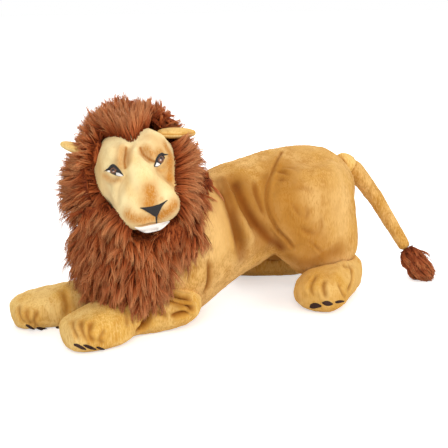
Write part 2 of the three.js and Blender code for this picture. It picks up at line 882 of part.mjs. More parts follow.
function buildHindLegs() {
  for (const [name, hand] of Object.entries(sides)) {
    const thigh = solidOf(thighForm(hand, middling)).subtract(solidOf(grownTorso(clearance)));
    piece(`haunch_${name}`, largest(thigh), "plush");
    const heading = hindFootHeading(hand);
    const heel = new THREE.Vector3(heelCentre, hand * heelFromMid, 0);
    const hock = heel.clone().addScaledVector(heading, hindFootLength * hockShare);
    const moves = turnsAbout(hock, vertical, eachWay(hockTurn));
    const carriers = (extra) => [grownTorso(extra), grownThigh(hand, extra)];
    const cutters = {
      outer: [
        swept([grownTorso(bulgeMargin + clearance)], moves),
        sweptRound(grownThigh(hand, bulgeMargin + clearance), moves),
      ],
      inner: (inset) => carriers(inset + turnMargin).map(solidOf),
    };
    const ankle = heel.clone().addScaledVector(heading, hindFootLength / 2);
    const slit = slitAt(ankle.x, ankle.y, hindFootHeight, -hand * hindFootSplay);
    const tip = heel.clone().addScaledVector(heading, hindFootLength);
    tip.z = hindFootHeight * pawTipShare;
    const pads = pawPads(tip, heading, hindFootWidth);
    const form = (detail) => hindFootForm(hand, detail);
    stuffed(`hind_foot_${name}`, form, "plush", cutters, slit, limbDetail, pads);
  }
}

function buildForelegs() {
  for (const [name, hand] of Object.entries(sides)) {
    const moves = turnsAbout(elbow(hand), vertical, [elbowTurnOut * hand, -elbowTurnIn * hand]);
    const cutters = {
      outer: [swept([grownTorso(bulgeMargin + clearance)], moves)],
      inner: (inset) => [solidOf(grownTorso(inset + turnMargin))],
    };
    const slit = slitAt(elbow(hand).x - forelegLength / 4, elbow(hand).y, forelegHeight);
    const form = (detail) => forelegForm(hand, detail);
    const pads = pawPads(pawTip(hand), forelegHeading(hand), forelegWidth);
    stuffed(`foreleg_${name}`, form, "plush", cutters, slit, limbDetail, pads);
  }
}

// Every place of the torso as the head sees it, while the head turns and nods
function sweptTorsoAboutNeck(extra) {
  const turned = turnsAbout(neckTop, vertical, eachWay(headTurnRange));
  const nodded = turnsAbout(neckTop, nodAxis, eachWay(headNodRange));
  const moves = nodded.flatMap((nod) => turned.map((turn) => nod.clone().multiply(turn)));
  return swept([grownTorso(extra)], moves);
}

const sweptNeck = () => swept([neckForm(ballMargin)], turnsAbout(neckTop, nodAxis, eachWay(headNodRange)));

function buildHead() {
  const ball = (extra) => {
    const socket = new THREE.SphereGeometry(neckBall + ballMargin + extra, ballSides, ballSides / 2);
    return solidOf(socket.translate(neckTop.x, neckTop.y, neckTop.z));
  };
  const carriers = (extra) => [ball(extra), sweptTorsoAboutNeck(skinRoom + extra)];
  const cutters = { outer: carriers(clearance), inner: (inset) => carriers(clearance + inset) };
  const nape = new THREE.BoxGeometry(overrun, slitWidth, slitLength);
  nape.translate(-headBehindCentre, 0, 0).applyMatrix4(headPlace);
  stuffed("head", headForm, "cream", cutters, nape, { detail: fine, lining: sparse });
}

// Outlines of the patches on the face, in the plane that faces along the muzzle. Each is a list
// of curves, given as shares of half the width and of the height: a bend and an end.
const almondShares = [[0, 1, 1, 0], [0, -1, -1, 0]];
const noseShares = [[0, 0.12, 1, 0], [0.5, -0.55, 0.1, -1], [0, -1, -0.1, -1], [-0.5, -0.55, -1, 0]];
const mouthShares = [[0, 0, 1, 0], [0.5, -0.5, 0, -1], [-0.5, -0.5, -1, 0]];
const lipShares = [[0, -0.4, 1, 0], [0.6, -1, 0, -1], [-0.6, -1, -1, 0]];

function outline(curves, width, height) {
  const shape = new THREE.Shape().moveTo(-width / 2, 0);
  for (const [bendX, bendY, endX, endY] of curves) {
    shape.quadraticCurveTo((bendX * width) / 2, bendY * height, (endX * width) / 2, endY * height);
  }
  return shape;
}

function buildFace() {
  const proud = solidOf(grownHead(clearance + patchThickness));
  const shell = proud.subtract(solidOf(grownHead(clearance))).subtract(sweptTorsoAboutNeck(clearance));
  const facing = new THREE.Matrix4().makeBasis(lateral, vertical, lateral.clone().cross(vertical));
  const patch = (name, [shape, hole], [sideways, upward], slant, colour) => {
    const frame = headPlace
      .clone()
      .multiply(new THREE.Matrix4().makeTranslation(0, sideways, upward))
      .multiply(new THREE.Matrix4().makeRotationX(radians(slant)))
      .multiply(facing);
    let prism = prismAlong(frame, shape, headLength);
    if (hole) prism = prism.subtract(prismAlong(frame, hole, headLength));
    piece(name, largest(prism.intersect(shell)), colour, 0.6);
  };
  const mouth = outline(mouthShares, mouthLineWidth, mouthLineLength);
  patch("nose", [outline(noseShares, noseWidth, noseHeight)], [noseToLeft, noseAbove], 0, "black");
  patch("mouth_line", [mouth], [noseToLeft, noseAbove - noseHeight - clearance], 0, "black");
  patch("lower_lip", [outline(lipShares, lipWidth, lipHeight)], [0, lipAbove], 0, "white");
  for (const [name, hand] of Object.entries(sides)) {
    const [place, slant] = [[-hand * eyeFromMid, eyeAbove], -hand * eyeSlant];
    const lids = (inset) => outline(almondShares, eyeWidth - inset * 4, eyeHeight - inset * 2);
    const iris = (extra) => ellipse(irisWidth, irisWidth, extra);
    patch(`eye_${name}_rim`, [lids(0), lids(eyeRimWidth)], place, slant, "black");
    patch(`eye_${name}_white`, [lids(eyeRimWidth + clearance), iris(clearance)], place, slant, "white");
    patch(`eye_${name}_iris`, [iris(0)], place, slant, "iris");
  }
}

function buildEars() {
  const hinge = (hand) => new THREE.Vector3().setFromMatrixPosition(earPlace(hand));
  const forward = new THREE.Vector3(1, 0, 0).transformDirection(headPlace);
  for (const [name, hand] of Object.entries(sides)) {
    const skull = swept([grownHead(clearance)], turnsAbout(hinge(hand), forward, eachWay(earTurn)));
    const ear = solidOf(earForm(hand, plain)).subtract(skull);
    const frame = earPlace(hand);
    piece(`ear_${name}_back`, largest(ear.intersect(halfSpace(frame, 1, clearance / 2))), "plush");
    piece(`ear_${name}_front`, largest(ear.intersect(halfSpace(frame, -1, clearance / 2))), "plush");
  }
}

// The room that an ear turns in, parted in the fur
function earRoom(hand) {
  const spread = earLength * Math.sin(radians(earTurn));
  const last = earShares[earShares.length - 1][0];
  const rows = earShares.map(([along, half, thick]) => [
    along,
    0,
    (earLength + earRoomMargin * 2) * along - earRoomMargin,
    0,
    earWidth * half + (along === last ? 0 : earRoomMargin / 2),
    earThickness * thick + (along === last ? 0 : spread * along + earRoomMargin / 2),
    0,
  ]);
  return loft(rows, new THREE.Vector3(1, 0, 0), plain).applyMatrix4(earPlace(hand));
}

function buildMane() {
  const ears = Object.values(sides).map((hand) => solidOf(earRoom(hand)));
  const skull = solidOf(grownHead(clearance));
  const cutters = [skull, sweptTorsoAboutNeck(clearance), sweptNeck(), ...ears];
  const crown = cutters.reduce((rest, cutter) => rest.subtract(cutter), solidOf(crownForm(middling)));
  piece("mane_crown", largest(crown), "mane");
  const legs = Object.values(sides).map((hand) => solidOf(offset(forelegForm(hand, middling), clearance)));
  const carriers = [
    solidOf(grownHead(skinRoom)),
    solidOf(grownTorso(clearance)),
    solidOf(neckForm(runningClearance)),
    solidOf(offset(crownForm(middling), clearance)),
    ...legs,
  ];
  const collar = carriers.reduce((rest, cutter) => rest.subtract(cutter), solidOf(collarForm(middling)));
  piece("mane_collar", largest(collar), "mane");
}

function buildTail() {
  const root = new THREE.Vector3(tailRootBehind, 0, tailRootHeight);
  const carriers = swept([grownTorso(clearance)], turnsAbout(root, lateral, [0, tailLift]));
  const crease = tailCrease();
  const tail = solidOf(tailForm(middling));
  const cup = new THREE.SphereGeometry(tailThickness / 2 + runningClearance, ballSides, ballSides / 2);
  const cupSolid = solidOf(cup.translate(crease.x, crease.y, crease.z));
  piece("tail_root", largest(solidOf(tailRootForm(plain)).subtract(carriers).subtract(cupSolid)), "plush");
  piece("tail", tail, "plush");
  const tuft = above(solidOf(tuftForm(plain)), floorLevel);
  piece("tail_tuft", largest(tuft.subtract(solidOf(offset(tailForm(middling), clearance)))), "mane");
}

function tailCrease() {
  const [, reach, , drop] = tailShares[2];
  return new THREE.Vector3(tailRootBehind + tailReach * reach, 0, tailRootHeight - tailDrop * drop);
}

buildTorso();
buildHindLegs();
buildForelegs();
buildHead();
buildFace();
buildEars();
buildMane();
buildTail();

export default group;
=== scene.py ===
# %% [markdown]
# A plush lion lies on its chest with its head turned to its left. The lion is a set of sewn bags of
# short-pile plush, pushed out by loose filling, with a mane and a tail tuft of long shaggy pile. The
# solid model gives every bag its size, place and joint. This file dresses it: each bag becomes a
# soft form with folds and seams, and the mane becomes real strands.
# The frame is the solid model's own: metres, -X towards the forepaws, -Y the lion's left, +Z up.

# %% The frame
import math

import bmesh
import bpy
import numpy as np
from mathutils import Matrix, Vector, noise
from mathutils.bvhtree import BVHTree
from mathutils.kdtree import KDTree


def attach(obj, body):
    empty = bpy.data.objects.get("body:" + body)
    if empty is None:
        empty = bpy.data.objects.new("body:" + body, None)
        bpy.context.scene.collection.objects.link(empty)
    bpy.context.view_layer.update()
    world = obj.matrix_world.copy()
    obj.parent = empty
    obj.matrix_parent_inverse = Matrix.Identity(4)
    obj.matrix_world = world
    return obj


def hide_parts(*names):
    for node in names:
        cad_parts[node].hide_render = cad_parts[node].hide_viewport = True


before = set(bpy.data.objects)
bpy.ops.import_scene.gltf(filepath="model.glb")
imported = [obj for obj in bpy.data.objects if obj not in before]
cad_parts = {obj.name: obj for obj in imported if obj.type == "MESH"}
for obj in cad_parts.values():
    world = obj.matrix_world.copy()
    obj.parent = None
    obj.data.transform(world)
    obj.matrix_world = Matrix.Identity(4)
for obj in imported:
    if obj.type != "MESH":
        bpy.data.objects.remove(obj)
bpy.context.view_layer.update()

MM = 0.001


def placed(name, data):
    """A new object in the scene, with this mesh, light or camera."""
    thing = bpy.data.objects.new(name, data)
    bpy.context.collection.objects.link(thing)
    return thing


# %% [markdown]
# The camera stands to the front left of the lion, a little above it, with a lens long enough that
# the paws aren't swollen. It looks at a point in the middle of the body.

# %% The camera
camera_azimuth = math.radians(-33)
camera_elevation = math.radians(15)
camera_distance = 1900 * MM
camera_target = Vector((165, 70, 150)) * MM

camera = placed("camera", bpy.data.cameras.new("camera"))
camera.data.lens = 70
toward_camera = Vector((
    math.sin(camera_azimuth) * math.cos(camera_elevation),
    -math.cos(camera_azimuth) * math.cos(camera_elevation),
    math.sin(camera_elevation),
))
camera.location = camera_target + toward_camera * camera_distance
camera.rotation_euler = toward_camera.to_track_quat("Z", "Y").to_euler()
bpy.context.scene.camera = camera

picture_size = 448
pixels_per_radian = camera.data.lens / camera.data.sensor_width * picture_size
sight = camera.matrix_basis.to_3x3()


def sight_line(pixel):
    """The direction from the camera through a point of the picture."""
    across = (pixel[0] - picture_size / 2) / pixels_per_radian
    down = (pixel[1] - picture_size / 2) / pixels_per_radian
    return (sight @ Vector((across, -down, -1))).normalized()


print("camera at", [round(v, 3) for v in camera.location])

# %% [markdown]
# Colours are written as the hex values that a paint chart gives, and turned to linear light by one
# function. One more function adds a node: a socket passed as a value is linked, and a plain value is
# set on the node's own socket.

# %% Colours and nodes
def linear(hex_value):
    """An sRGB hex colour as linear red, green, blue and alpha."""
    channels = [(hex_value >> shift & 255) / 255 for shift in (16, 8, 0)]
    bent = [c / 12.92 if c <= 0.04045 else ((c + 0.055) / 1.055) ** 2.4 for c in channels]
    return (*bent, 1.0)


def add(tree, kind, sockets=None, **settings):
    """Adds a node of this kind with its settings, its values and its links."""
    node = tree.nodes.new(kind)
    for key, value in settings.items():
        setattr(node, key, value)
    for key, value in (sockets or {}).items():
        if isinstance(value, bpy.types.NodeSocket):
            tree.links.new(value, node.inputs[key])
        else:
            node.inputs[key].default_value = value
    return node


def new_material(name):
    """An empty material, its tree and its output node."""
    material = bpy.data.materials.new(name)
    material.use_nodes = True
    material.node_tree.nodes.clear()
    return material, material.node_tree, add(material.node_tree, "ShaderNodeOutputMaterial")


def mixed(tree, share, low, high, blend="MIX"):
    """Two colours mixed by a share from 0 to 1."""
    node = add(tree, "ShaderNodeMix", {0: share}, data_type="RGBA", blend_type=blend)
    for socket, value in ((6, low), (7, high)):
        if isinstance(value, bpy.types.NodeSocket):
            tree.links.new(value, node.inputs[socket])
        else:
            node.inputs[socket].default_value = value
    return node.outputs[2]


def ranged(tree, value, low, high, to_low=0.0, to_high=1.0):
    """A value moved from one range to another and held inside it."""
    sockets = {"Value": value, "From Min": low, "From Max": high, "To Min": to_low, "To Max": to_high}
    return add(tree, "ShaderNodeMapRange", sockets, clamp=True).outputs["Result"]


def worked(tree, operation, a, b, **settings):
    """The result of a sum on two values."""
    return add(tree, "ShaderNodeMath", {0: a, 1: b}, operation=operation, **settings).outputs[0]


def speckle(tree, place, size_mm, stretch=(1, 1, 1), detail=3.0, roughness=0.55):
    """Noise whose patches are about this size, drawn out along an axis where stretch is small."""
    scaled = add(tree, "ShaderNodeVectorMath", {0: place, 1: stretch}, operation="MULTIPLY").outputs[0]
    sockets = {"Vector": scaled, "Scale": 1 / (size_mm * MM), "Detail": detail, "Roughness": roughness}
    return add(tree, "ShaderNodeTexNoise", sockets).outputs["Fac"]


def surfaced(parts, colour, roughness, more, height=None, strength=0.5, bump_mm=0.2):
    """Ends a material with its colour, its roughness, other sockets and a bump where it has one."""
    material, tree, output = parts
    sockets = {"Base Color": colour, "Roughness": roughness, "IOR": 1.5, **more}
    if height is not None:
        bump = {"Strength": strength, "Distance": bump_mm * MM, "Height": height}
        sockets["Normal"] = add(tree, "ShaderNodeBump", bump).outputs[0]
    shader = add(tree, "ShaderNodeBsdfPrincipled", sockets)
    tree.links.new(shader.outputs[0], output.inputs["Surface"])
    return material


print("helpers ready; mid grey in linear light is", [round(c, 3) for c in linear(0x808080)])

# %% [markdown]
# Short-pile plush is a knitted polyester backing with fibres 3 to 4 mm long. Light runs along the
# fibres, so the surface is matt face on and glows at grazing angles. That is a rough surface with
# sheen. The tone wanders gently over a hand's width, fine lines run along the lie of the pile, and a
# fine bump stands for the fibre ends, drawn at 1.4 mm because single fibres are too fine to show.
# Where cloth folds in, the colour is painted deep and warm as shade; the folds made below write how
# deep they lie in an attribute of painted shade. A second attribute makes the pile more golden, partly
# for its own tone and partly as painted shade, and a third makes it paler as a painted highlight.

# %% Short-pile plush
wander_mm, brushed_mm, fibre_end_mm = 70, 17, 1.4


def short_plush(name, light, middle, golden, crease_shade_colour, lie=(1, 1, 0.25), line_mm=3.0, bump_mm=1.3, contrast=1.0):
    """Brushed polyester plush: two soft tones, a golden one that also serves as painted shade, a deep one
    painted as shade in the folds.
    """
    parts = new_material(name)
    tree = parts[1]
    place = add(tree, "ShaderNodeTexCoord").outputs["Object"]
    wander = ranged(tree, speckle(tree, place, wander_mm, (1, 1, 0.7), 1.5, 0.5), 0.38, 0.62)
    brushed = speckle(tree, place, brushed_mm, (1, 1, 0.5), 2.0, 0.5)
    brushed = ranged(tree, brushed, 0.45, 0.65, 0, 0.4 * contrast)
    lines = speckle(tree, place, line_mm, lie, 2.0, 0.6)
    fibres = speckle(tree, place, fibre_end_mm, (1, 1, 0.6), 1.0, 0.5)
    painted_highlight, tone_and_shade, crease_shade = [
        add(tree, "ShaderNodeAttribute", attribute_name=kind).outputs["Fac"]
        for kind in ("painted_highlight", "tone_and_shade", "crease_shade")
    ]
    streaked = worked(tree, "MULTIPLY", tone_and_shade, ranged(tree, lines, 0.36, 0.6, 0.75, 1.15), use_clamp=True)
    colour = mixed(tree, wander, linear(middle), linear(light))
    # Mixes below: noise and pile lines, then a painted highlight, a golden tone partly painted shade, and
    # painted crease shade.
    for share, shade_hex in (
        (brushed, golden),
        (ranged(tree, lines, 0.5, 0.68, 0, 0.5 * contrast), light),
        (ranged(tree, lines, 0.5, 0.32, 0, 0.5 * contrast), golden),
        (painted_highlight, light), (streaked, golden), (crease_shade, crease_shade_colour),
    ):
        colour = mixed(tree, share, colour, linear(shade_hex))
    more = {
        "Specular IOR Level": 0.1, "Sheen Weight": 0.35, "Sheen Roughness": 0.45, "Sheen Tint": linear(light),
    }
    return surfaced(parts, colour, 0.95, more, worked(tree, "ADD", lines, fibres), 0.55, bump_mm)


plush_gold = short_plush("gold_plush", 0xE8BB76, 0xD09B4A, 0xB0762C, 0x7E420E, contrast=1.3)
plush_leg = short_plush("leg_plush", 0xF4CE84, 0xE2B058, 0xC4862E, 0x84480F)
plush_ear = short_plush("ear_plush", 0xF3D795, 0xE3B86C, 0xC58A3A, 0x84480F)
plush_pad = short_plush("dark_pad_plush", 0x4A3630, 0x3A2923, 0x2A1C18, 0x1C1210, line_mm=1.5, bump_mm=0.3)
print("plush materials:", [m.name for m in (plush_gold, plush_leg, plush_ear, plush_pad)])

# %% [markdown]
# Every stuffed piece starts as the solids that it stands for: its skin and its filling, joined by a
# voxel remesh into one closed soft skin. A few rounds of smoothing take away the facets, as a
# filling would. After that its points are moved in code: presses swell or dent the form, and grooves
# draw it in along a path, as a seam or a tight fold does.

# %% Soft forms from the solids
def settle(piece):
    """Makes the modifiers of a piece part of its mesh."""
    graph = bpy.context.evaluated_depsgraph_get()
    piece.data = bpy.data.meshes.new_from_object(piece.evaluated_get(graph))
    piece.modifiers.clear()


def joined_nodes(nodes):
    """Several nodes of the solid model in one mesh that is still being edited."""
    joined = bmesh.new()
    for node in nodes:
        joined.from_mesh(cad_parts[node].data)
    return joined


def soft_form(name, nodes, voxel_mm, rounds, swell_mm=0.0):
    """One smooth closed skin round these nodes of the solid model."""
    joined = joined_nodes(nodes)
    mesh = bpy.data.meshes.new(name)
    joined.to_mesh(mesh)
    joined.free()
    piece = placed(name, mesh)
    remesh = piece.modifiers.new("remesh", "REMESH")
    remesh.mode = "VOXEL"
    remesh.voxel_size = voxel_mm * MM
    smooth = piece.modifiers.new("smooth", "SMOOTH")
    smooth.iterations = rounds
    settle(piece)
    piece.data.materials.clear()
    move(piece, normals_of(piece) * swell_mm * MM)
    for kind in ("crease_shade", "tone_and_shade", "painted_highlight"):
        piece.data.attributes.new(kind, "FLOAT", "POINT")
    return piece


def rows_of(items, kind):
    """One vector of each item, as the rows of an array."""
    values = np.empty(len(items) * 3)
    items.foreach_get(kind, values)
    return values.reshape(-1, 3)


def points_of(piece):
    return rows_of(piece.data.vertices, "co")


def normals_of(piece):
    return rows_of(piece.data.vertex_normals, "vector")


def put(piece, points):
    piece.data.vertices.foreach_set("co", points.ravel())
    piece.data.update()


def move(piece, by):
    put(piece, points_of(piece) + by)


def shade(piece, kind, amount):
    """Raises the painted shade of the folds, the golden tone and shade, or the painted highlight of each
    point, from 0 to 1.
    """
    values = np.empty(len(piece.data.vertices))
    data = piece.data.attributes[kind].data
    data.foreach_get("value", values)
    data.foreach_set("value", np.clip(np.maximum(values, amount), 0, 1))


def nearness(piece, at_mm, reach_mm, place=Matrix.Identity(4)):
    """1 at a place and falling softly to 0 around it, for each point of a piece."""
    inverse = np.array(place.inverted().to_3x3())
    local = (points_of(piece) - np.array(place.translation)) @ inverse.T / MM
    return np.exp(-(((local - np.array(at_mm)) / np.array(reach_mm)) ** 2).sum(1))


def press(piece, at_mm, reach_mm, by_mm, place=Matrix.Identity(4)):
    """Moves what lies near a point, as a thumb or a lump of filling does."""
    turned = np.array(place.to_3x3()) @ np.array(by_mm)
    move(piece, nearness(piece, at_mm, reach_mm, place)[:, None] * turned * MM)


def along_path(points, path):
    """For each point, its distance to the path and its share of the way along it."""
    best = np.full(len(points), np.inf)
    share = np.zeros(len(points))
    steps = np.linalg.norm(np.diff(path, axis=0), axis=1)
    start = np.concatenate([[0], np.cumsum(steps)]) / steps.sum()
    for i, (a, b) in enumerate(zip(path[:-1], path[1:])):
        t = np.clip(((points - a) @ (b - a)) / ((b - a) @ (b - a)), 0, 1)
        distance = np.linalg.norm(points - a - t[:, None] * (b - a), axis=1)
        nearer = distance < best
        best[nearer] = distance[nearer]
        share[nearer] = (start[i] + t * (start[i + 1] - start[i]))[nearer]
    return best, share


def curve_through(path_mm, steps=10):
    """A smooth line through a few points."""
    pts = np.array(path_mm, float) * MM
    ends = np.concatenate([[2 * pts[0] - pts[1]], pts, [2 * pts[-1] - pts[-2]]])
    line = []
    for a, b, c, d in zip(ends[:-3], ends[1:-2], ends[2:-1], ends[3:]):
        for t in np.arange(steps) / steps:
            line.append(0.5 * (2 * b + (c - a) * t + (2 * a - 5 * b + 4 * c - d) * t ** 2
                               + (3 * b - a - 3 * c + d) * t ** 3))
    return np.array(line + [pts[-1]])


def groove(piece, path_mm, depth_mm, width_mm, lip=0.35, ends=0.25, tone_and_shade=0.8):
    """Draws the skin in along a path, with a soft lip on both sides, fading at its ends, and paints shade
    along it.
    """
    distance, share = along_path(points_of(piece), curve_through(path_mm))
    fade = np.clip(np.minimum(share, 1 - share) / ends, 0, 1) ** 0.7
    t = distance / (width_mm * MM)
    profile = lip * np.exp(-((t - 2) / 0.9) ** 2) - np.exp(-t ** 2)
    move(piece, normals_of(piece) * (profile * fade * depth_mm * MM)[:, None])
    # Painted shade: deep along the groove and golden further out on both sides.
    shade(piece, "crease_shade", tone_and_shade * np.exp(-(t * 1.2) ** 2) * fade)
    shade(piece, "tone_and_shade", tone_and_shade * np.exp(-(t / 2.2) ** 2) * fade)


def surface_of(piece):
    graph = bpy.context.evaluated_depsgraph_get()
    graph.update()
    return BVHTree.FromObject(piece, graph)


def seen(piece, pixels):
    """Where the sight lines through these pixels meet a piece, in millimetres."""
    surface = surface_of(piece)
    hits = [surface.ray_cast(camera.location, sight_line(pixel))[0] for pixel in pixels]
    if None in hits:
        print("past the edge of", piece.name, [pixel for pixel, hit in zip(pixels, hits) if hit is None])
    return np.array([list(hit) for hit in hits if hit is not None]) / MM


def lump(piece, pixel, reach_mm, rise_mm):
    """Swells or dents a piece around a pixel, square to its surface."""
    hit, normal, _, _ = surface_of(piece).ray_cast(camera.location, sight_line(pixel))
    if hit is None:
        print("past the edge of", piece.name, pixel)
    else:
        press(piece, hit / MM, (reach_mm,) * 3, normal * rise_mm)


def tint(piece, kind, pixel, reach_mm, amount):
    """Shades a piece around a pixel."""
    for at in seen(piece, [pixel]):
        shade(piece, kind, amount * nearness(piece, at, (reach_mm,) * 3))


def tint_along(piece, kind, pixels, width_mm, amount):
    """Shades a piece along a line of pixels."""
    distance, _ = along_path(points_of(piece), curve_through(seen(piece, pixels)))
    shade(piece, kind, amount * np.exp(-(distance / (width_mm * MM)) ** 2))


def brush(piece, strokes):
    """Shades a piece along lines of pixels, one kind of shade after another."""
    for kind, lines in strokes.items():
        for pixels, width, amount in lines:
            tint_along(piece, kind, pixels, width, amount)


def crumple(piece, size_mm, depth_mm, stretch=(1, 1, 1), seed=0.0):
    """Small soft creases all over, finer along an axis where stretch is large."""
    scale = np.array(stretch) / (size_mm * MM)
    heights = np.array([
        abs(noise.noise(Vector(p))) + 0.5 * abs(noise.noise(Vector(p * 2.1)))
        for p in points_of(piece) * scale + seed
    ])
    move(piece, normals_of(piece) * ((heights - heights.mean()) * depth_mm * MM)[:, None])


def refine(piece):
    """Subdivides once, so that the folds are round."""
    piece.modifiers.new("refine", "SUBSURF").levels = 1
    settle(piece)
    piece.data.shade_smooth()


def declare(piece, body, nodes):
    """Says which body a piece rides on and which nodes it stands for."""
    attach(piece, body)
    if nodes:
        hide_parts(*nodes)


def finish_piece(piece, material, body, nodes):
    """Gives a piece its cloth, its body and the nodes that it stands for, and keeps it above the floor."""
    points = points_of(piece)
    points[:, 2] = np.maximum(points[:, 2], 0)
    put(piece, points)
    piece.data.materials.clear()
    piece.data.materials.append(material)
    piece.data.shade_smooth()
    declare(piece, body, nodes)
    print(piece.name, "faces", len(piece.data.polygons))


# %% [markdown]
# The torso and the haunches are sewn together and filled as one, so they are dressed as one skin.
# The haunch panels are cut from plush of a deeper tone. Long folds run down behind the shoulder,
# where the turned head twists the body, and a seam runs round the front of each haunch. What the
# picture shows is drawn in its pixels, and a sight line through each pixel finds its place.

# %% The body
deep_folds = [
    ([(212, 178), (221, 190), (229, 204), (235, 220), (240, 240), (242, 262)], 17, 11),
    ([(230, 172), (234, 188), (241, 202), (250, 216), (259, 229), (268, 239)], 14, 12),
    ([(252, 178), (256, 192), (261, 206), (267, 220)], 4, 10),
]
fold_shadows = [
    ([(224, 180), (229, 196), (234, 214), (239, 236), (241, 258)], 13, 0.65),
    ([(235, 186), (241, 199), (248, 213), (257, 226), (268, 238), (280, 247)], 14, 0.95),
    ([(241, 190), (248, 208), (258, 226), (270, 242)], 32, 0.42),
    ([(267, 178), (268, 204), (277, 228), (292, 246)], 15, 0.35),
    ([(290, 256), (306, 262), (322, 257), (336, 250)], 14, 0.3),
]
torso_shade_and_tone = [
    ([(238, 182), (244, 200), (252, 218), (262, 234)], 34, 0.8),
    ([(267, 178), (268, 204), (276, 228), (290, 246)], 22, 0.85),
    ([(283, 168), (286, 196), (296, 222), (312, 244)], 44, 0.9),
    ([(290, 254), (304, 262), (322, 258), (340, 250)], 26, 0.7),
]
torso_painted_highlights = [
    ([(212, 186), (217, 204), (220, 226), (222, 250)], 28, 0.75),
    ([(338, 170), (338, 200), (342, 226)], 34, 0.5),
    ([(300, 148), (320, 150), (334, 158)], 24, 0.3),
]
haunch_seam_pixels = [
    (283, 150), (277, 161), (271, 175), (267, 189), (266, 202), (270, 217), (278, 231), (288, 241),
    (293, 249),
]
haunch_creases = [
    ([(272, 171), (281, 172), (290, 176)], 1.6, 4.5),
    ([(273, 177), (282, 180), (289, 180)], 1.4, 4.5),
    ([(281, 167), (292, 168), (301, 173)], 1.0, 5),
    ([(292, 191), (304, 188), (315, 193)], 0.9, 6),
    ([(291, 202), (296, 210), (302, 219)], 1.4, 5),
    ([(306, 206), (308, 214), (304, 222)], 1.4, 5),
    ([(299, 226), (307, 232), (317, 235)], 1.5, 5),
    ([(308, 240), (316, 247), (324, 256)], 1.5, 3.5),
    ([(320, 212), (322, 224), (320, 236)], 0.9, 6),
]
haunch_lumps = [
    ((294, 213), 13, 2.0), ((307, 222), 12, 2.5), ((299, 206), 9, -2.0), ((308, 231), 11, -2.2),
    ((315, 238), 11, -2.0), ((303, 240), 14, 2.0), ((316, 200), 18, 2.0), ((283, 205), 18, 1.5),
]
thigh_presses = [((282, 258), (26, 34, 24), (10, 0, 17)), ((298, 264), (26, 34, 20), (5, 0, 9))]
shoulder_seam_pixels = [(207, 258), (209, 270), (208, 284), (203, 295)]
mirror = np.array([1, -1, 1])
elbow_hollow_mm = (-14, -88, 96)
under_belly_mm = (300, 62, 52)

torso_nodes = ["torso_skin", "torso_filling", "haunch_left", "haunch_right"]
body = soft_form("body_plush", torso_nodes, 5.4, 9, 1.5)
for pixels, depth, width in deep_folds:
    groove(body, seen(body, pixels), depth, width)
press(body, elbow_hollow_mm, (34, 30, 34), (0, -8, 0))
for pixel, reach, by in thigh_presses:
    press(body, seen(body, [pixel])[0] / MM, reach, by)
refine(body)
haunch_seam = seen(body, haunch_seam_pixels)
shoulder_seam = seen(body, shoulder_seam_pixels)
for side in (np.ones(3), mirror):
    groove(body, haunch_seam * side, 4, 3.4, lip=0.5, ends=0.04, tone_and_shade=0.55)
    groove(body, shoulder_seam * side, 4, 4.5)
for pixels, depth, width in haunch_creases:
    groove(body, seen(body, pixels), 1.5 * depth, width, lip=0.6, ends=0.45, tone_and_shade=0.28 * depth)
for pixel, reach, rise in haunch_lumps:
    lump(body, pixel, reach, rise)
crumple(body, 40, 1.6, (1, 1, 0.5))
crumple(body, 14, 1.1, (1.6, 1.6, 0.6), seed=7.0)

where = points_of(body) / MM
order = np.argsort(haunch_seam[:, 2])
seam_x = np.interp(where[:, 2], haunch_seam[order, 2], haunch_seam[order, 0])
behind_seam = np.clip((where[:, 0] - seam_x) / 5, 0, 1)
shade(body, "tone_and_shade", 0.3 * behind_seam * np.clip((365 - where[:, 0]) / 90, 0.25, 1))
# Painted shade runs along the folds and under the thigh, and painted highlights lie on the shoulder, the rump
# and the haunch top;
# the golden strokes beside the seam and over the haunch are partly the panel's own tone, partly painted
# shade.
brush(body, {"crease_shade": fold_shadows, "tone_and_shade": torso_shade_and_tone, "painted_highlight": torso_painted_highlights})
# Painted shade under the belly, deeper and more golden there.
shade(body, "crease_shade", 0.12 * nearness(body, under_belly_mm, (110, 42, 46)))
shade(body, "tone_and_shade", 0.9 * nearness(body, under_belly_mm, (130, 50, 60)))
finish_piece(body, plush_gold, "torso", torso_nodes)

# %% [markdown]
# The legs lie flat on the floor. The nearer elbow is bunched into folds, each paw is drawn in by
# stitches between its toes, and dark pads are let into the front edge of each sole. The folds of
# the hidden hind foot mirror those of the one that shows.

# %% The legs
def leg(part, creases, lumps, shadows, presses=()):
    """A stuffed limb: swellings, then creases, then painted shade where they crowd."""
    nodes = [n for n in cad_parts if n.startswith(part) and "pad" not in n]
    everything = [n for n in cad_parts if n.startswith(part)]
    piece = soft_form(part + "_plush", everything, 3.6, 8, 1.0)
    for at, reach, by in presses:
        press(piece, at, reach, by)
    refine(piece)
    for pixels, depth, width in creases:
        path = seen(piece, pixels) if len(pixels[0]) == 2 else np.array(pixels)
        groove(piece, path, depth, width, lip=0.5, ends=0.2, tone_and_shade=min(1, 0.2 + depth / 9))
    for pixel, reach, rise in lumps:
        lump(piece, pixel, reach, rise)
    for pixel, reach, amount in shadows:
        tint(piece, "crease_shade", pixel, reach, amount)
    crumple(piece, 24, 1.3)
    crumple(piece, 9, 0.6, (1, 1, 0.7), seed=3.0)
    return piece, nodes


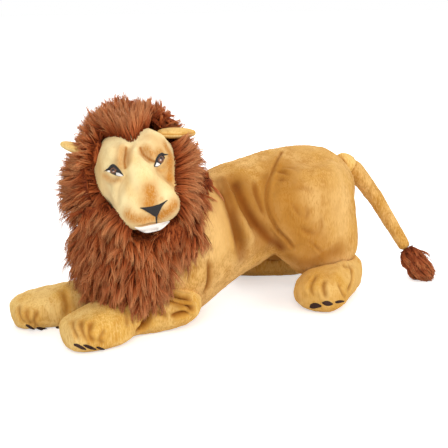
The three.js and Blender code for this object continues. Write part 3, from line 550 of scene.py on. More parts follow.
near_foreleg_creases = [
    ([(146, 303), (148, 311), (146, 320), (141, 327), (136, 333)], 8, 6),
    ([(162, 293), (172, 296), (182, 299), (192, 300), (202, 298)], 9, 5),
    ([(163, 298), (173, 302), (183, 305), (190, 308), (196, 310)], 8, 4.5),
    ([(170, 317), (177, 314), (184, 313), (190, 314)], 6, 4.5),
    ([(152, 308), (160, 313), (168, 318)], 2.5, 5),
    ([(121, 305), (127, 315), (128, 328)], 2, 6),
]
near_toes = [
    ([(72, 319), (74, 327), (77, 335), (80, 341)], 2.2, 4),
    ([(81, 319), (82, 327), (84, 335), (88, 342)], 3.2, 4.5),
    ([(92, 320), (90, 328), (90, 336), (95, 343)], 3.8, 4.5),
    ([(106, 329), (102, 335), (100, 340), (104, 345)], 2.4, 4.5),
]
near_foreleg_lumps = [
    ((188, 303), 12, 3), ((184, 309), 9, 3), ((178, 321), 14, 3), ((190, 288), 20, 3),
    ((76, 328), 12, 2), ((86, 332), 10, 1.5),
]
near_foreleg_shadows = [((186, 300), 12, 0.35), ((178, 306), 12, 0.3), ((150, 300), 16, 0.3)]
near_foreleg_presses = [
    ((-186, -94, 18), (52, 26, 30), (10, -14, -4)),
    ((-30, -108, 36), (34, 22, 26), (6, -4, 0)),
]
far_foreleg_creases = [
    ([(62, 288), (65, 298), (67, 308), (66, 318)], 3, 6),
    ([(19, 304), (19, 312), (22, 319), (27, 324)], 2.6, 4.5),
    ([(27, 307), (27, 314), (29, 321), (33, 326)], 2.6, 4.5),
    ([(39, 310), (36, 316), (34, 322), (38, 327)], 3.0, 4.5),
]
hind_foot_creases = [
    ([(319, 266), (330, 260), (341, 257), (352, 254), (360, 254)], 6, 5),
    ([(317, 274), (313, 281), (311, 289), (313, 297)], 2.6, 4.5),
    ([(325, 279), (323, 286), (324, 293), (326, 299)], 3.2, 4.5),
    ([(338, 281), (340, 288), (343, 294), (346, 299)], 2.8, 4.5),
    ([(348, 262), (352, 272), (351, 284), (347, 292)], 3.5, 6),
    ([(334, 262), (344, 266), (354, 265)], 2.5, 4.5),
]
made = {
    "foreleg_left": leg("foreleg_left", near_foreleg_creases + near_toes, near_foreleg_lumps,
                        near_foreleg_shadows, near_foreleg_presses),
    "foreleg_right": leg("foreleg_right", far_foreleg_creases, [((24, 316), 11, 2), ((33, 318), 10, 1.5)],
                         [((90, 300), 34, 0.55), ((75, 305), 26, 0.3)]),
    "hind_foot_left": leg("hind_foot_left", hind_foot_creases, [((306, 285), 14, 2), ((331, 290), 12, 1.5)],
                          [((338, 258), 12, 0.45)]),
}
foot = made["hind_foot_left"][0]
hidden_creases = [(seen(foot, pixels) * mirror, depth, width) for pixels, depth, width in hind_foot_creases]
made["hind_foot_right"] = leg("hind_foot_right", hidden_creases, [], [])
far_foot = made["hind_foot_right"][0]
# Painted shade on the hidden hind foot, under the belly.
shade(far_foot, "crease_shade", 0.2 * nearness(far_foot, (300, 92, 36), (110, 34, 46)))
shade(foot, "tone_and_shade", np.full(len(points_of(foot)), 0.35))
legs = {}
for part, (piece, nodes) in made.items():
    finish_piece(piece, plush_leg, part, nodes)
    legs[part] = piece

# %% [markdown]
# The tail is a thin sewn tube with little filling, and the neck is a plug hidden inside the mane.

# %% The tail and the neck
tail_root = soft_form("tail_root_plush", ["tail_root"], 3, 8, 1.5)
refine(tail_root)
finish_piece(tail_root, plush_leg, "tail_root", ["tail_root"])

tail = soft_form("tail_plush", ["tail"], 3, 8, 1.2)
refine(tail)
crumple(tail, 16, 1.4)
finish_piece(tail, plush_gold, "tail", ["tail"])

neck = soft_form("neck_plush", ["neck"], 4, 6, -0.5)
finish_piece(neck, plush_gold, "neck", ["neck"])


# %% [markdown]
# The head has its own frame, in which x points where the muzzle points, y to the lion's left and z
# to its crown. The face is cream plush, and its folds are stitched down through the filling: a dent
# at the inner corner of each eye, round brows, a broad bridge and a muzzle of two lobes.

# %% The head
face_frame = (
    Matrix.Translation(Vector((-73, 16, 304)) * MM)
    @ Matrix.Rotation(math.pi + math.radians(68), 4, "Z")
    @ Matrix.Rotation(math.radians(15), 4, "X")
)
face_presses = [
    ((112, 2, 26), (30, 16, 26), (4, 0, 0)),
    ((84, 2, 76), (20, 10, 12), (-7, 0, -5)),
    ((112, 0, -96), (26, 40, 16), (-7, 0, 7)),
]
face_lumps = [
    ((111, 150), 26, 7), ((158, 138), 26, 7), ((113, 174), 14, -4), ((162, 163), 13, -4),
    ((106, 188), 18, -4), ((168, 176), 14, -4), ((131, 213), 20, 5), ((169, 207), 18, 5),
]
bridge_pixels = [(134, 163), (137, 174), (141, 186), (146, 196)]
face_dents = [
    ([(129.5, 145), (127, 150), (126, 157), (125.5, 164), (123.5, 170)], 9, 6.5, 0.4),
    ([(138, 148), (141.5, 151), (145, 155), (149, 159), (154, 162.5)], 9, 6.5, 0.4),
    ([(125, 170), (125.5, 178), (121, 187), (117.5, 196), (118.5, 206)], 4.5, 7, 0.15),
    ([(154, 163), (159, 172), (166, 178), (172, 184), (176, 191)], 4.5, 7, 0.25),
    ([(103, 174), (108, 177), (114, 179), (120, 179)], 2.5, 5, 0.15),
    ([(157, 168), (162, 166), (167, 162), (170, 158)], 2.5, 5, 0.2),
    ([(109, 164), (115, 161.5), (121, 163), (124.5, 168)], 2.0, 4, 0.15),
    ([(156.5, 216), (156.8, 219), (157, 223)], 3, 3.5, 0.3),
    ([(134, 227), (141, 226.5), (149, 224.8), (157, 223.4), (165, 221.8), (171, 220)], 4, 3.5, 0.6),
]
face_tones_and_shade = [
    ([(126, 148), (125.5, 153), (124.4, 161), (125.3, 168)], 4, 0.9),
    ([(122, 149), (120.5, 158), (119.5, 166)], 12, 0.65),
    ([(140.5, 148), (143, 154), (149, 159), (155, 161.7)], 4, 0.9),
    ([(146, 149), (154, 154), (161, 152)], 14, 0.8),
    ([(166, 146), (170.5, 156), (170, 168), (170, 178)], 13, 1.0),
    ([(164, 165), (168, 173), (173, 184)], 8, 0.5),
    ([(100, 150), (99, 164), (102, 178), (108, 192), (116, 204)], 9, 0.25),
    ([(150, 138), (160, 142), (166, 150)], 17, 0.4),
    ([(104, 176), (112, 181), (119, 179)], 8, 0.65),
    ([(158, 169), (164, 170), (169, 164)], 8, 0.7),
    ([(150, 190), (151, 197), (150, 204)], 17, 1.0),
    ([(144, 204), (152, 203), (161, 199)], 7, 0.6),
    ([(128, 214), (135, 219), (146, 220), (153, 217)], 14, 0.85),
    ([(160, 216), (168, 212), (175, 205)], 15, 1.0),
]
face_crease_shades = [
    ([(126, 148), (125.3, 153), (124.4, 161), (125.3, 168)], 3, 0.55),
    ([(140.5, 148), (143, 154), (149, 159), (155, 161.7)], 3, 0.6),
    ([(126.5, 176), (120, 188), (118, 200)], 2.5, 0.25),
    ([(157, 169), (163, 176), (171, 183), (176, 191)], 2.5, 0.35),
]
face_painted_highlights = [
    ([(132, 168), (134, 178), (138, 188)], 12, 0.7),
    ([(121, 188), (122, 199), (126, 207), (133, 211)], 12, 0.9),
    ([(160, 188), (168, 195), (172, 202)], 8, 0.5),
    ([(103, 182), (108, 193), (114, 203)], 8, 0.6),
    ([(108, 145), (110, 156)], 14, 0.4),
]
head = soft_form("head_plush", ["head_skin", "head_filling"], 3.2, 8, 1.0)
for at, reach, by in face_presses:
    press(head, at, reach, by, face_frame)
refine(head)
groove(head, seen(head, bridge_pixels), -5, 17, lip=0, ends=0.35, tone_and_shade=0)
for pixel, reach, rise in face_lumps:
    lump(head, pixel, reach, rise)
for pixels, depth, width, tone_and_shade in face_dents:
    groove(head, seen(head, pixels), depth, width, lip=0.35, ends=0.3, tone_and_shade=tone_and_shade)
# Painted shade lies in the dents by the eyes and round the muzzle, with a golden tone round it that is partly
# the face's own colour; painted highlights lie on the bridge, the muzzle and the cheeks.
brush(head, {"tone_and_shade": face_tones_and_shade, "painted_highlight": face_painted_highlights, "crease_shade": face_crease_shades})
crumple(head, 20, 0.6)
crumple(head, 7, 0.35, seed=5.0)
plush_cream = short_plush(
    "cream_plush", 0xF8E2AA, 0xEFCF8E, 0xC27F32, 0x8C4E1A,
    lie=(1, 1, 0.35), line_mm=2.4, bump_mm=0.9, contrast=0.4,
)
finish_piece(head, plush_cream, "head", ["head_skin", "head_filling"])

# %% [markdown]
# The eyes, the nose, the mouth and the lip are flat pieces sewn or embroidered on the face; the glint
# on each iris is a painted reflection, laid on as one more patch. Each is drawn as two edges, an upper
# and a lower one, in the picture's own pixels, and laid on the face along the lines of sight. A patch
# is closed: it has a front with a slight dome, a back and a rim.

# %% Patches laid on the face
def eased(pixels, count):
    """Evenly spaced points on a smooth line through these pixels."""
    line = curve_through([(*p, 0) for p in pixels]) / MM
    steps = np.concatenate([[0], np.cumsum(np.linalg.norm(np.diff(line, axis=0), axis=1))])
    at = np.linspace(0, steps[-1], count)
    return np.stack([np.interp(at, steps, line[:, k]) for k in (0, 1)], 1)


patch_back_mm = 1.0
weld_mm = 0.02


def patch(name, upper, lower, lift_mm, dome_mm, material, slot, nodes,
          columns=24, rows=6, on=None, body="head"):
    """A thin closed piece between an upper and a lower edge, laid on the head or on another piece."""
    surface = surface_of(on) if on else head_surface
    tops, bottoms = eased(upper, columns), eased(lower, columns)
    front, back = [], []
    normal, depth = toward_camera, camera_distance
    for i in range(columns):
        for j in range(rows):
            share = j / (rows - 1)
            pixel = tops[i] * (1 - share) + bottoms[i] * share
            found, facing, _, away = surface.ray_cast(camera.location, sight_line(pixel))
            if found is not None:
                normal, depth = facing, away
            hit = found or camera.location + sight_line(pixel) * depth
            swell = math.sin(math.pi * share) * math.sin(math.pi * (i + 0.5) / columns)
            front.append(hit + normal * (lift_mm + dome_mm * swell) * MM)
            back.append(hit - normal * patch_back_mm * MM)
    for point in front + back:
        point.z = max(point.z, 0)
    faces = []
    count = columns * rows
    for i in range(columns - 1):
        for j in range(rows - 1):
            a = i * rows + j
            quad = (a, a + 1, a + rows + 1, a + rows)
            faces.append(quad)
            faces.append(tuple(count + v for v in reversed(quad)))
    rim = ([i * rows for i in range(columns)] + [(columns - 1) * rows + j for j in range(1, rows)]
           + [i * rows + rows - 1 for i in range(columns - 2, -1, -1)] + [j for j in range(rows - 2, 0, -1)])
    for a, b in zip(rim, rim[1:] + rim[:1]):
        faces.append((a, b, count + b, count + a))
    mesh = bpy.data.meshes.new(name)
    mesh.from_pydata(front + back, [], faces)
    welded = bmesh.new()
    welded.from_mesh(mesh)
    bmesh.ops.remove_doubles(welded, verts=welded.verts, dist=weld_mm * MM)
    bmesh.ops.recalc_face_normals(welded, faces=welded.faces)
    welded.to_mesh(mesh)
    welded.free()
    piece = placed(name, mesh)
    mesh.materials.append(material)
    mesh.shade_smooth()
    declare(piece, body, nodes)
    return piece


stitch_mm = 0.9


def thread(name, colour, shine, roughness):
    """Satin stitch: fine ridges that lie side by side."""
    parts = new_material(name)
    tree = parts[1]
    place = add(tree, "ShaderNodeTexCoord").outputs["Object"]
    stitches = speckle(tree, place, stitch_mm, (1, 1, 0.35), 2.0, 0.5)
    dyed = mixed(tree, ranged(tree, stitches, 0.35, 0.65), linear(colour), linear(shine))
    return surfaced(parts, dyed, roughness, {"Sheen Weight": 0.1}, stitches)


black_thread = thread("black_thread", 0x0D0908, 0x201815, 0.8)
brown_thread = thread("brown_thread", 0x5A3420, 0x8A5A3C, 0.6)
dark_thread = thread("dark_thread", 0x120A08, 0x221511, 0.6)
# The glint on each iris is a painted reflection, laid on as a small pale patch.
painted_glint_thread = thread("painted_glint_thread", 0xC9A9A0, 0xD8BDB2, 0.45)
white_cloth = thread("white_cloth", 0xFBF6F0, 0xEFE6DC, 0.8)

head_surface = surface_of(head)
right_lid = [
    (104.8, 171), (108, 169.2), (111, 166.6), (113.7, 165.2), (117, 167.8), (120.2, 171.2), (123.3, 175.2),
]
left_lid = [
    (154.2, 166), (155.6, 161.6), (157.4, 157.6), (159.4, 155), (161.3, 153.9), (164, 155), (167.4, 154.6),
]


def band(line, widths):
    """The two edges of a band along a line, this much wider at each of its points."""
    pts = np.array(line, float)
    run = np.gradient(pts, axis=0)
    across = np.stack([-run[:, 1], run[:, 0]], 1) / np.linalg.norm(run, axis=1)[:, None]
    half = np.array(widths)[:, None] / 2
    return pts - across * half, pts + across * half


def disc(centre, radius, height, top=None):
    """The upper and the lower edge of a round patch; a top level cuts it off under the lid."""
    turn = np.linspace(math.pi, 0, 9)
    up = np.stack([centre[0] + radius * np.cos(turn), centre[1] - height * np.sin(turn)], 1)
    down = np.stack([centre[0] + radius * np.cos(turn), centre[1] + height * np.sin(turn)], 1)
    if top is not None:
        up[:, 1] = np.maximum(up[:, 1], top(up[:, 0]))
    return up, down


def under(lid):
    """The level just below a lid."""
    xs, ys = np.array(lid).T
    return lambda x: np.interp(x, xs, ys) + 0.3


# Each layer of an eye: how far it stands off the face, its dome, its cloth, its slot and its node
eye_layers = {
    "almond": (0.4, 0.9, black_thread, "black_embroidery", "rim"),
    "iris": (1.4, 0.9, brown_thread, "brown_embroidery", "iris"),
    "pupil": (2.1, 0.5, dark_thread, "black_embroidery", None),
    # The glint is a painted reflection on the iris.
    "glint": (2.7, 0.3, painted_glint_thread, "white_patch", None),
    "white": (1.7, 0.6, white_cloth, "white_patch", "white"),
    "corner": (1.7, 0.4, white_cloth, "white_patch", None),
    "lid": (2.6, 0.5, black_thread, "black_embroidery", None),
}
eye_edges = {
    "right": {
        "almond": (
            [(106.3, 170.9), (109.5, 168.6), (112.8, 165.6), (116, 168), (119.5, 171.4), (123.6, 175.3)],
            [(106.5, 171.2), (109.5, 172.5), (113, 174.3), (116.5, 175.7), (120, 176.5), (123.6, 175.8)]),
        "iris": disc((113.7, 170.3), 3.2, 3.1, under(right_lid)),
        "pupil": disc((113.6, 170), 1.6, 1.7),
        "glint": disc((114.5, 171.2), 1, 0.5),
        "white": ([(116.9, 172.6), (119.3, 172.9), (121.5, 174.3), (123.1, 175.6)],
                  [(116.9, 175.4), (119, 176.1), (121.4, 176.3), (123.1, 175.9)]),
        "corner": ([(107.4, 171), (108.9, 170.3), (110.3, 170.4)],
                   [(107.6, 171.4), (109.2, 172.1), (110.6, 172.5)]),
        "lid": band(right_lid, [0.3, 1.1, 1.9, 2.2, 1.9, 1.4, 0.5]),
    },
    "left": {
        "almond": (
            [(154, 165.9), (155.4, 161.4), (158, 156.8), (161, 154.2), (163.4, 155.3), (164.7, 157.2)],
            [(154.3, 166.8), (156.8, 167), (159.7, 165.4), (162.1, 162.7), (163.9, 160), (164.9, 157.8)]),
        "iris": disc((160.5, 159.3), 3, 3.6),
        "pupil": disc((160.5, 159.2), 1.6, 2),
        "glint": disc((159.8, 160.4), 0.8, 0.9),
        "white": ([(154.8, 165.5), (155.7, 162.7), (157.4, 163), (159, 163.9)],
                  [(155.1, 166.3), (156.9, 166.4), (158.5, 165.6), (159.6, 164.6)]),
        "lid": band(left_lid, [0.4, 1.1, 1.7, 2, 2.1, 1.4, 0.3]),
    },
}
nose_edges = (
    [(140, 207.7), (144.5, 207.3), (149.5, 206.7), (154.5, 205.6), (159.5, 204), (163.5, 202), (167.3, 200)],
    [(140, 208.1), (144, 209.8), (149, 212.6), (156.4, 216.2), (160.4, 209.6), (163, 205.2), (167.3, 200.5)],
)
mouth_edges = (
    [(155.3, 214), (155.6, 217.6), (155.8, 221), (156.2, 223.4)],
    [(157.9, 214), (157.3, 217.6), (157.2, 221), (156.9, 223.4)],
)
face_patches = []
for hand, layers in eye_edges.items():
    for part, edges in layers.items():
        lift, dome, cloth, slot, node = eye_layers[part]
        nodes = [f"eye_{hand}_{node}"] if node else []
        face_patches.append(patch(f"{hand}_eye_{part}", *edges, lift, dome, cloth, slot, nodes))
embroidery = (black_thread, "black_embroidery")
face_patches.append(patch("nose_cloth", *nose_edges, 1.6, 2.2, *embroidery, ["nose"], columns=30, rows=8))
face_patches.append(patch("mouth_stitch", *mouth_edges, 0.9, 0.5, *embroidery, ["mouth_line"], rows=4))
print("patches on the face:", len(face_patches))

# %% [markdown]
# The lower lip is a small padded crescent of white cloth that peeps out under the muzzle.

# %% The lower lip
lip_edges = (
    [(134.6, 226.9), (141, 226.8), (148, 225.4), (155, 223.8), (162, 222.4), (169.4, 220.6)],
    [(134.8, 227.5), (140, 230.4), (145.5, 232.4), (153, 231.4), (161.5, 228.6), (169.6, 221.4)],
)
lip = patch("lower_lip_cloth", *lip_edges, 1.0, 4.5, white_cloth, "white_patch", ["lower_lip"], rows=9)
print(lip.name, "faces", len(lip.data.polygons))

# %% [markdown]
# Dark pads are let into the front edge of each sole, three for the toes and one under the paw. Of
# the toe pads, the picture shows narrow slits, which are drawn in its pixels and laid on the paws.
# The hidden hind foot has the mirrored pads of the one that shows.

# %% The pads
toe_pad_pixels = {
    "foreleg_left": [
        ([(74, 343.6), (77.5, 343.8), (82, 346), (86.4, 349)],
         [(74, 345.4), (78, 347.4), (82, 349.2), (86, 349.8)]),
        ([(83.2, 344.6), (87, 344.6), (92, 346.6), (96.4, 349)],
         [(83.2, 345.4), (87, 347.8), (91.6, 349.4), (96, 349.8)]),
        ([(96.4, 346.6), (99, 346.6), (102, 347.8), (104.6, 349)],
         [(96.4, 347.6), (98.6, 348.8), (101.4, 349.6), (104.4, 349.8)]),
    ],
    "foreleg_right": [
        ([(25.6, 324.4), (28.4, 324.6), (31.6, 326.6), (34.8, 328.8)],
         [(25.8, 325.6), (28.4, 327.4), (31, 328.8), (34.4, 329.6)]),
        ([(36.4, 327.2), (40, 326.9), (44, 328), (48, 329.6)],
         [(36.6, 328.4), (39.6, 329.8), (43.4, 330.6), (47.8, 330.4)]),
        ([(55.6, 326.8), (57.6, 326.2), (59.6, 326.3), (61.6, 327)],
         [(55.8, 328.2), (57.6, 328.5), (59.6, 328.4), (61.4, 327.9)]),
    ],
    "hind_foot_left": [
        ([(310.2, 304.4), (313.4, 302.9), (317.4, 303.2), (321.6, 305.4)],
         [(309.6, 307.6), (313, 308.6), (317, 308), (321.4, 306.9)]),
        ([(321.8, 302.4), (325.2, 300.9), (329.2, 301.2), (333, 303.6)],
         [(322.4, 303.6), (325.4, 305.4), (329, 305.8), (332.6, 304.8)]),
        ([(335, 301.6), (338, 300.4), (341.2, 300.2), (344.4, 300.8)],
         [(335.4, 303), (338, 303.2), (341, 302.6), (344.2, 301.6)]),
    ],
}


def mirrored(name, piece, body, nodes):
    """A copy of a piece on the other side of the lion."""
    mesh = piece.data.copy()
    mesh.transform(Matrix.Scale(-1, 4, (0, 1, 0)))
    mesh.flip_normals()
    declare(placed(name, mesh), body, nodes)


pad_lift_mm, pad_dome_mm, pad_columns, pad_rows = 0.5, 1.8, 16, 6
for part, pads in toe_pad_pixels.items():
    for n, (upper, lower) in enumerate(pads, start=1):
        node = f"{part}_toe_pad_{n}"
        pad = patch(node + "_cloth", upper, lower, pad_lift_mm, pad_dome_mm, plush_pad, "pad_fabric", [node],
                    pad_columns, pad_rows, legs[part], part)
        if part == "hind_foot_left":
            other = node.replace("left", "right")
            mirrored(other + "_cloth", pad, "hind_foot_right", [other])
for part in legs:
    node = f"{part}_sole_pad"
    pad = soft_form(node + "_cloth", [node], 1.1, 4, 1.2)
    finish_piece(pad, plush_pad, part, [node])

# %% [markdown]
# An ear is two panels sewn edge to edge: a golden back and a pale front, which is cupped. The pile
# is short, so the seam shows as a thin line between the two tones.

# %% The ears
for hand in ("left", "right"):
    for panel, cloth, slot in (("back", plush_leg, "golden_plush"), ("front", plush_ear, "cream_plush")):
        node = f"ear_{hand}_{panel}"
        ear = soft_form(node + "_plush", [node], 1.6, 4, 1.8)
        refine(ear)
        height = points_of(ear)[:, 2] / MM
        # Each panel turns more golden towards its bottom.
        shade(ear, "tone_and_shade", np.clip((np.median(height) - height) / 5 + 0.2, 0, 0.9))
        finish_piece(ear, cloth, f"ear_{hand}", [node])

# %% [markdown]
# The mane is long-pile fur cloth. Its backing follows the head and the neck, and its fibres are
# drawn one by one: thin three-sided tubes that taper to a point. Fibres of a fur cloth cling together
# in locks, so each one is drawn towards its lock's own line as it nears the tip. A lock starts at the
# backing, rises, and is combed away from the face, back over the skull and down over the chest.
# The colour needs only two values per fibre, its shade and the way along it, so both are kept in the
# fibre's texture coordinates.

# %% Fur
fur_map = "OFBake"
rings, sides = 4, 3


fibre_taper = [0.9, 1.0, 0.9, 0.6, 0.0]
stray_share, stray_pull, stray_wander = 0.07, 0.1, 2.5
fur_above_floor_mm = 0.3


def fur_material(name, root, middle, tip, dull):
    """Long acrylic pile: dark at the root as painted shade among the fibres, pale at the tip, a little glossy
    along the fibre.
    """
    parts = new_material(name)
    tree = parts[1]
    uv = add(tree, "ShaderNodeUVMap", uv_map=fur_map).outputs["UV"]
    across, along, _ = add(tree, "ShaderNodeSeparateXYZ", {"Vector": uv}).outputs
    low = mixed(tree, ranged(tree, along, 0.05, 0.5), linear(root), linear(middle))
    high = mixed(tree, ranged(tree, along, 0.4, 1.0), low, linear(tip))
    colour = mixed(tree, ranged(tree, across, 0.25, 1, 0, 0.8), high, linear(dull))
    return surfaced(parts, colour, 0.6, {"Specular IOR Level": 0.2})


def backing_material(name, dark, light):
    """The knitted ground of fur cloth with its short underfur: streaks of two browns."""
    parts = new_material(name)
    tree = parts[1]
    place = add(tree, "ShaderNodeTexCoord").outputs["Object"]
    streaks = speckle(tree, place, 4, (1, 1, 0.16), 2.0, 0.6)
    colour = mixed(tree, ranged(tree, streaks, 0.38, 0.6), linear(dark), linear(light))
    return surfaced(parts, colour, 0.9, {"Specular IOR Level": 0.1}, streaks, 0.8, 2)


def finder(points):
    """A tree that finds the nearest of these points."""
    tree = KDTree(len(points))
    for i, point in enumerate(points):
        tree.insert(Vector(point), i)
    tree.balance()
    return tree


def scattered(piece, count, seed):
    """Random points on a surface, with their normals."""
    rng = np.random.default_rng(seed)
    mesh = piece.data
    mesh.calc_loop_triangles()
    corners = np.empty(len(mesh.loop_triangles) * 3, np.int32)
    mesh.loop_triangles.foreach_get("vertices", corners)
    corners = corners.reshape(-1, 3)
    points, normals = points_of(piece), normals_of(piece)
    a, b, c = (points[corners[:, k]] for k in range(3))
    areas = np.linalg.norm(np.cross(b - a, c - a), axis=1)
    chosen = rng.choice(len(corners), count, p=areas / areas.sum())
    u, v = rng.random((2, count))
    flip = u + v > 1
    u[flip], v[flip] = 1 - u[flip], 1 - v[flip]
    share = np.stack([1 - u - v, u, v], 1)
    at = (points[corners[chosen]] * share[:, :, None]).sum(1)
    facing = (normals[corners[chosen]] * share[:, :, None]).sum(1)
    return at, unit(facing)


def unit(vectors):
    return vectors / np.maximum(np.linalg.norm(vectors, axis=-1, keepdims=True), 1e-9)


def locks_from(roots, normals, comb, lengths, lift, curl_mm, seed, shell=None, rise=None):
    """The lines of the locks: each rises, is combed, and is held under the mane's outer form."""
    rng = np.random.default_rng(seed)
    sway = rng.normal(0, 1, roots.shape)
    lines = [roots]
    for k in range(rings):
        share = k / rings
        way = unit(normals * lift * (1 - share) ** 1.5 + comb(lines[-1], share) + sway * 0.2)
        ahead = lines[-1] + way * (lengths / rings)[:, None]
        if shell is not None:
            for i, point in enumerate(ahead):
                near, facing, _, _ = shell.find_nearest(Vector(point))
                over = (Vector(point) - near).dot(facing) - rise[i]
                if over > 0:
                    ahead[i] -= np.array(facing) * over
        lines.append(ahead)
    lines = np.stack(lines, 1)
    along = np.linspace(0, 1, rings + 1)[None, :, None]
    turns = rng.uniform(3, 7, (len(roots), 1, 1))
    wave = np.sin(along * turns + rng.uniform(0, 6, (len(roots), 1, 1)))
    bend = unit(np.cross(unit(rng.normal(0, 1, roots.shape)), lines[:, -1] - lines[:, 0]))
    return lines + bend[:, None] * wave * along * curl_mm * MM


def fur(name, roots, normals, lock_lines, material, body, radius_mm, gather, seed,
        paler=0.0, spread_mm=1.8):
    """Fibres on these roots, gathered into the nearest locks, as one mesh."""
    rng = np.random.default_rng(seed)
    starts = finder(lock_lines[:, 0])
    nearest = np.array([starts.find(Vector(p))[1] for p in roots])
    own = lock_lines[nearest]
    t = np.linspace(0, 1, rings + 1)[None, :, None]
    stretch = rng.uniform(0.75, 1.1, (len(roots), 1, 1))
    offset = (roots - own[:, 0])[:, None]
    stray = rng.random(len(roots)) < stray_share
    pull = np.where(stray, stray_pull, gather)[:, None, None]
    lines = own[:, :1] + (own - own[:, :1]) * stretch + offset * (1 - pull * t ** 0.8)
    wander = rng.normal(0, 1, (len(roots), 1, 3)) * np.where(stray, stray_wander, 1.0)[:, None, None]
    lines = lines + wander * t ** 1.3 * spread_mm * MM
    along = unit(np.gradient(lines, axis=1))
    side = unit(np.cross(along, normals[:, None] + 0.01))
    up = np.cross(side, along)
    taper = np.array(fibre_taper)[None, :, None]
    thick = rng.uniform(0.7, 1.25, (len(roots), 1, 1)) * radius_mm * MM * taper
    vertices = []
    for k in range(sides):
        turn = math.tau * k / sides
        vertices.append(lines + (side * math.cos(turn) + up * math.sin(turn)) * thick)
    tubes = np.stack(vertices, 2)[:, :rings]
    count = len(roots)
    per = rings * sides + 1
    points = np.concatenate([tubes.reshape(count, rings * sides, 3), lines[:, rings:]], 1).reshape(-1, 3)
    points[:, 2] = np.maximum(points[:, 2], fur_above_floor_mm * MM)
    pattern = []
    for r in range(rings - 1):
        for k in range(sides):
            a, b = r * sides + k, r * sides + (k + 1) % sides
            pattern += [(a, b, b + sides), (a, b + sides, a + sides)]
    for k in range(sides):
        pattern.append(((rings - 1) * sides + k, (rings - 1) * sides + (k + 1) % sides, rings * sides))
    pattern.append((0, 2, 1))
    faces = (np.array(pattern)[None] + (np.arange(count) * per)[:, None, None]).reshape(-1, 3)
    mesh = bpy.data.meshes.new(name)
    mesh.vertices.add(len(points))
    mesh.vertices.foreach_set("co", points.ravel())
    mesh.loops.add(faces.size)
    mesh.loops.foreach_set("vertex_index", faces.ravel().astype(np.int32))
    mesh.polygons.add(len(faces))
    mesh.polygons.foreach_set("loop_start", np.arange(0, faces.size, 3, dtype=np.int32))
    mesh.update(calc_edges=True)
    dullness = np.repeat(rng.random(count) * 0.45 + rng.random(len(lock_lines))[nearest] * 0.55, per)
    height = np.tile(np.concatenate([np.repeat(np.arange(rings) / rings, sides), [1.0]]), count)
    height = paler + (1 - paler) * height
    uv = mesh.uv_layers.new(name=fur_map)
    uv.data.foreach_set("uv", np.stack([dullness, height], 1)[faces.ravel()].astype(np.float32).ravel())
    mesh.materials.append(material)
    mesh.shade_smooth()
    declare(placed(name, mesh), body, [])
    print(name, count, "fibres,", len(faces), "faces")


mane_fur = fur_material("mane_pile", 0x6A250B, 0xBE612A, 0xEAA870, 0x99461E)
mane_backing = backing_material("mane_backing", 0x58200A, 0xA4542A)
tuft_backing = backing_material("tuft_backing", 0x50200A, 0x984C20)
tuft_fur = fur_material("tuft_pile", 0x66280E, 0xAE5A2C, 0xDE945E, 0x90421E)

# %% [markdown]
# The face is left free of the mane: a line round it, drawn in the picture's pixels and laid on the
# head, is where the mane starts. Locks that start at this line fan out from the face.

# %% The mane
face_edge_pixels = [
    (129, 143), (123, 139.4), (115.6, 137.2), (107, 138), (100, 142.4), (95.6, 150), (94.8, 163), (96.4, 179),
    (101.6, 192), (110, 203), (117.6, 211), (124, 220), (134, 230), (146, 234.5), (160, 230), (171, 223),
    (178.6, 210), (178.8, 199), (173.6, 190), (173.8, 178), (173.8, 160), (171, 146), (166, 136),
    (158.6, 129.6), (149, 128.2), (142.4, 131.4), (138, 138.2), (133, 142.6),
]
face_line = eased(face_edge_pixels + face_edge_pixels[:1], 160)
face_middle = np.array([136.0, 183.0])
face_axes = np.array(face_frame.to_3x3())
face_origin = np.array(face_frame.translation)


def pixel_of(points):
    """Where points fall in the picture."""
    local = (points - np.array(camera.location)) @ np.array(sight)
    return np.stack([picture_size / 2 + pixels_per_radian * local[:, 0] / -local[:, 2],
                     picture_size / 2 - pixels_per_radian * local[:, 1] / -local[:, 2]], 1)


def beyond_face(points):
    """How many pixels past the face's edge points lie, less than 0 inside it."""
    pixels = pixel_of(points) - face_middle
    line = face_line - face_middle
    turn = np.arctan2(pixels[:, 1], pixels[:, 0])
    line_turn = np.arctan2(line[:, 1], line[:, 0])
    order = np.argsort(line_turn)
    reach = np.interp(turn, line_turn[order], np.linalg.norm(line, axis=1)[order], period=math.tau)
    return np.linalg.norm(pixels, axis=1) - reach


def in_face(points):
    """Points in the head's own frame, in millimetres."""
    return (points - face_origin) @ face_axes / MM


def off_face(points):
    """Whether fur may grow here: outside the face's edge, or behind the face."""
    return (beyond_face(points) > 0.5) | (in_face(points)[:, 0] < 8)


def mane_comb(points, share):
    """The way that the mane is combed: off the face, then back, and down at the sides."""
    local = in_face(points)
    across = local * [0, 1, 1] + [0, 0, 6]
    radial = unit(across)
    back = np.clip((50 - local[:, :1]) / 110, 0, 1.2)
    way = radial * (1.1 - 0.5 * back) - np.array([1, 0, 0]) * (0.15 + 0.8 * back)
    low = np.clip(-local[:, 2:] / 60, 0, 1)
    return unit(way @ face_axes.T + np.array([0, 0, -1]) * (0.1 + 0.9 * low) * (0.5 + 1.1 * share))


neck_line = np.array([-62, 0, 0]) * MM


def collar_comb(points, share):
    """The fur under the chin hangs, and spreads a little from the neck."""
    out = unit((points - neck_line) * [1, 1, 0])
    return unit(out * 0.35 + np.array([0, 0, -1]) * (0.75 + 0.8 * share))


def merged_surface(nodes):
    """The outer form of several nodes of the solid model."""
    joined = joined_nodes(nodes)
    tree = BVHTree.FromBMesh(joined)
    joined.free()
    return tree


ear_backs = [points_of(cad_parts[f"ear_{hand}_back"]) for hand in ("left", "right")]
ear_finder = finder(np.concatenate(ear_backs))


def near_ears(points):
    """How many millimetres points lie from the nearer ear."""
    return np.array([ear_finder.find(Vector(p))[2] for p in points]) / MM


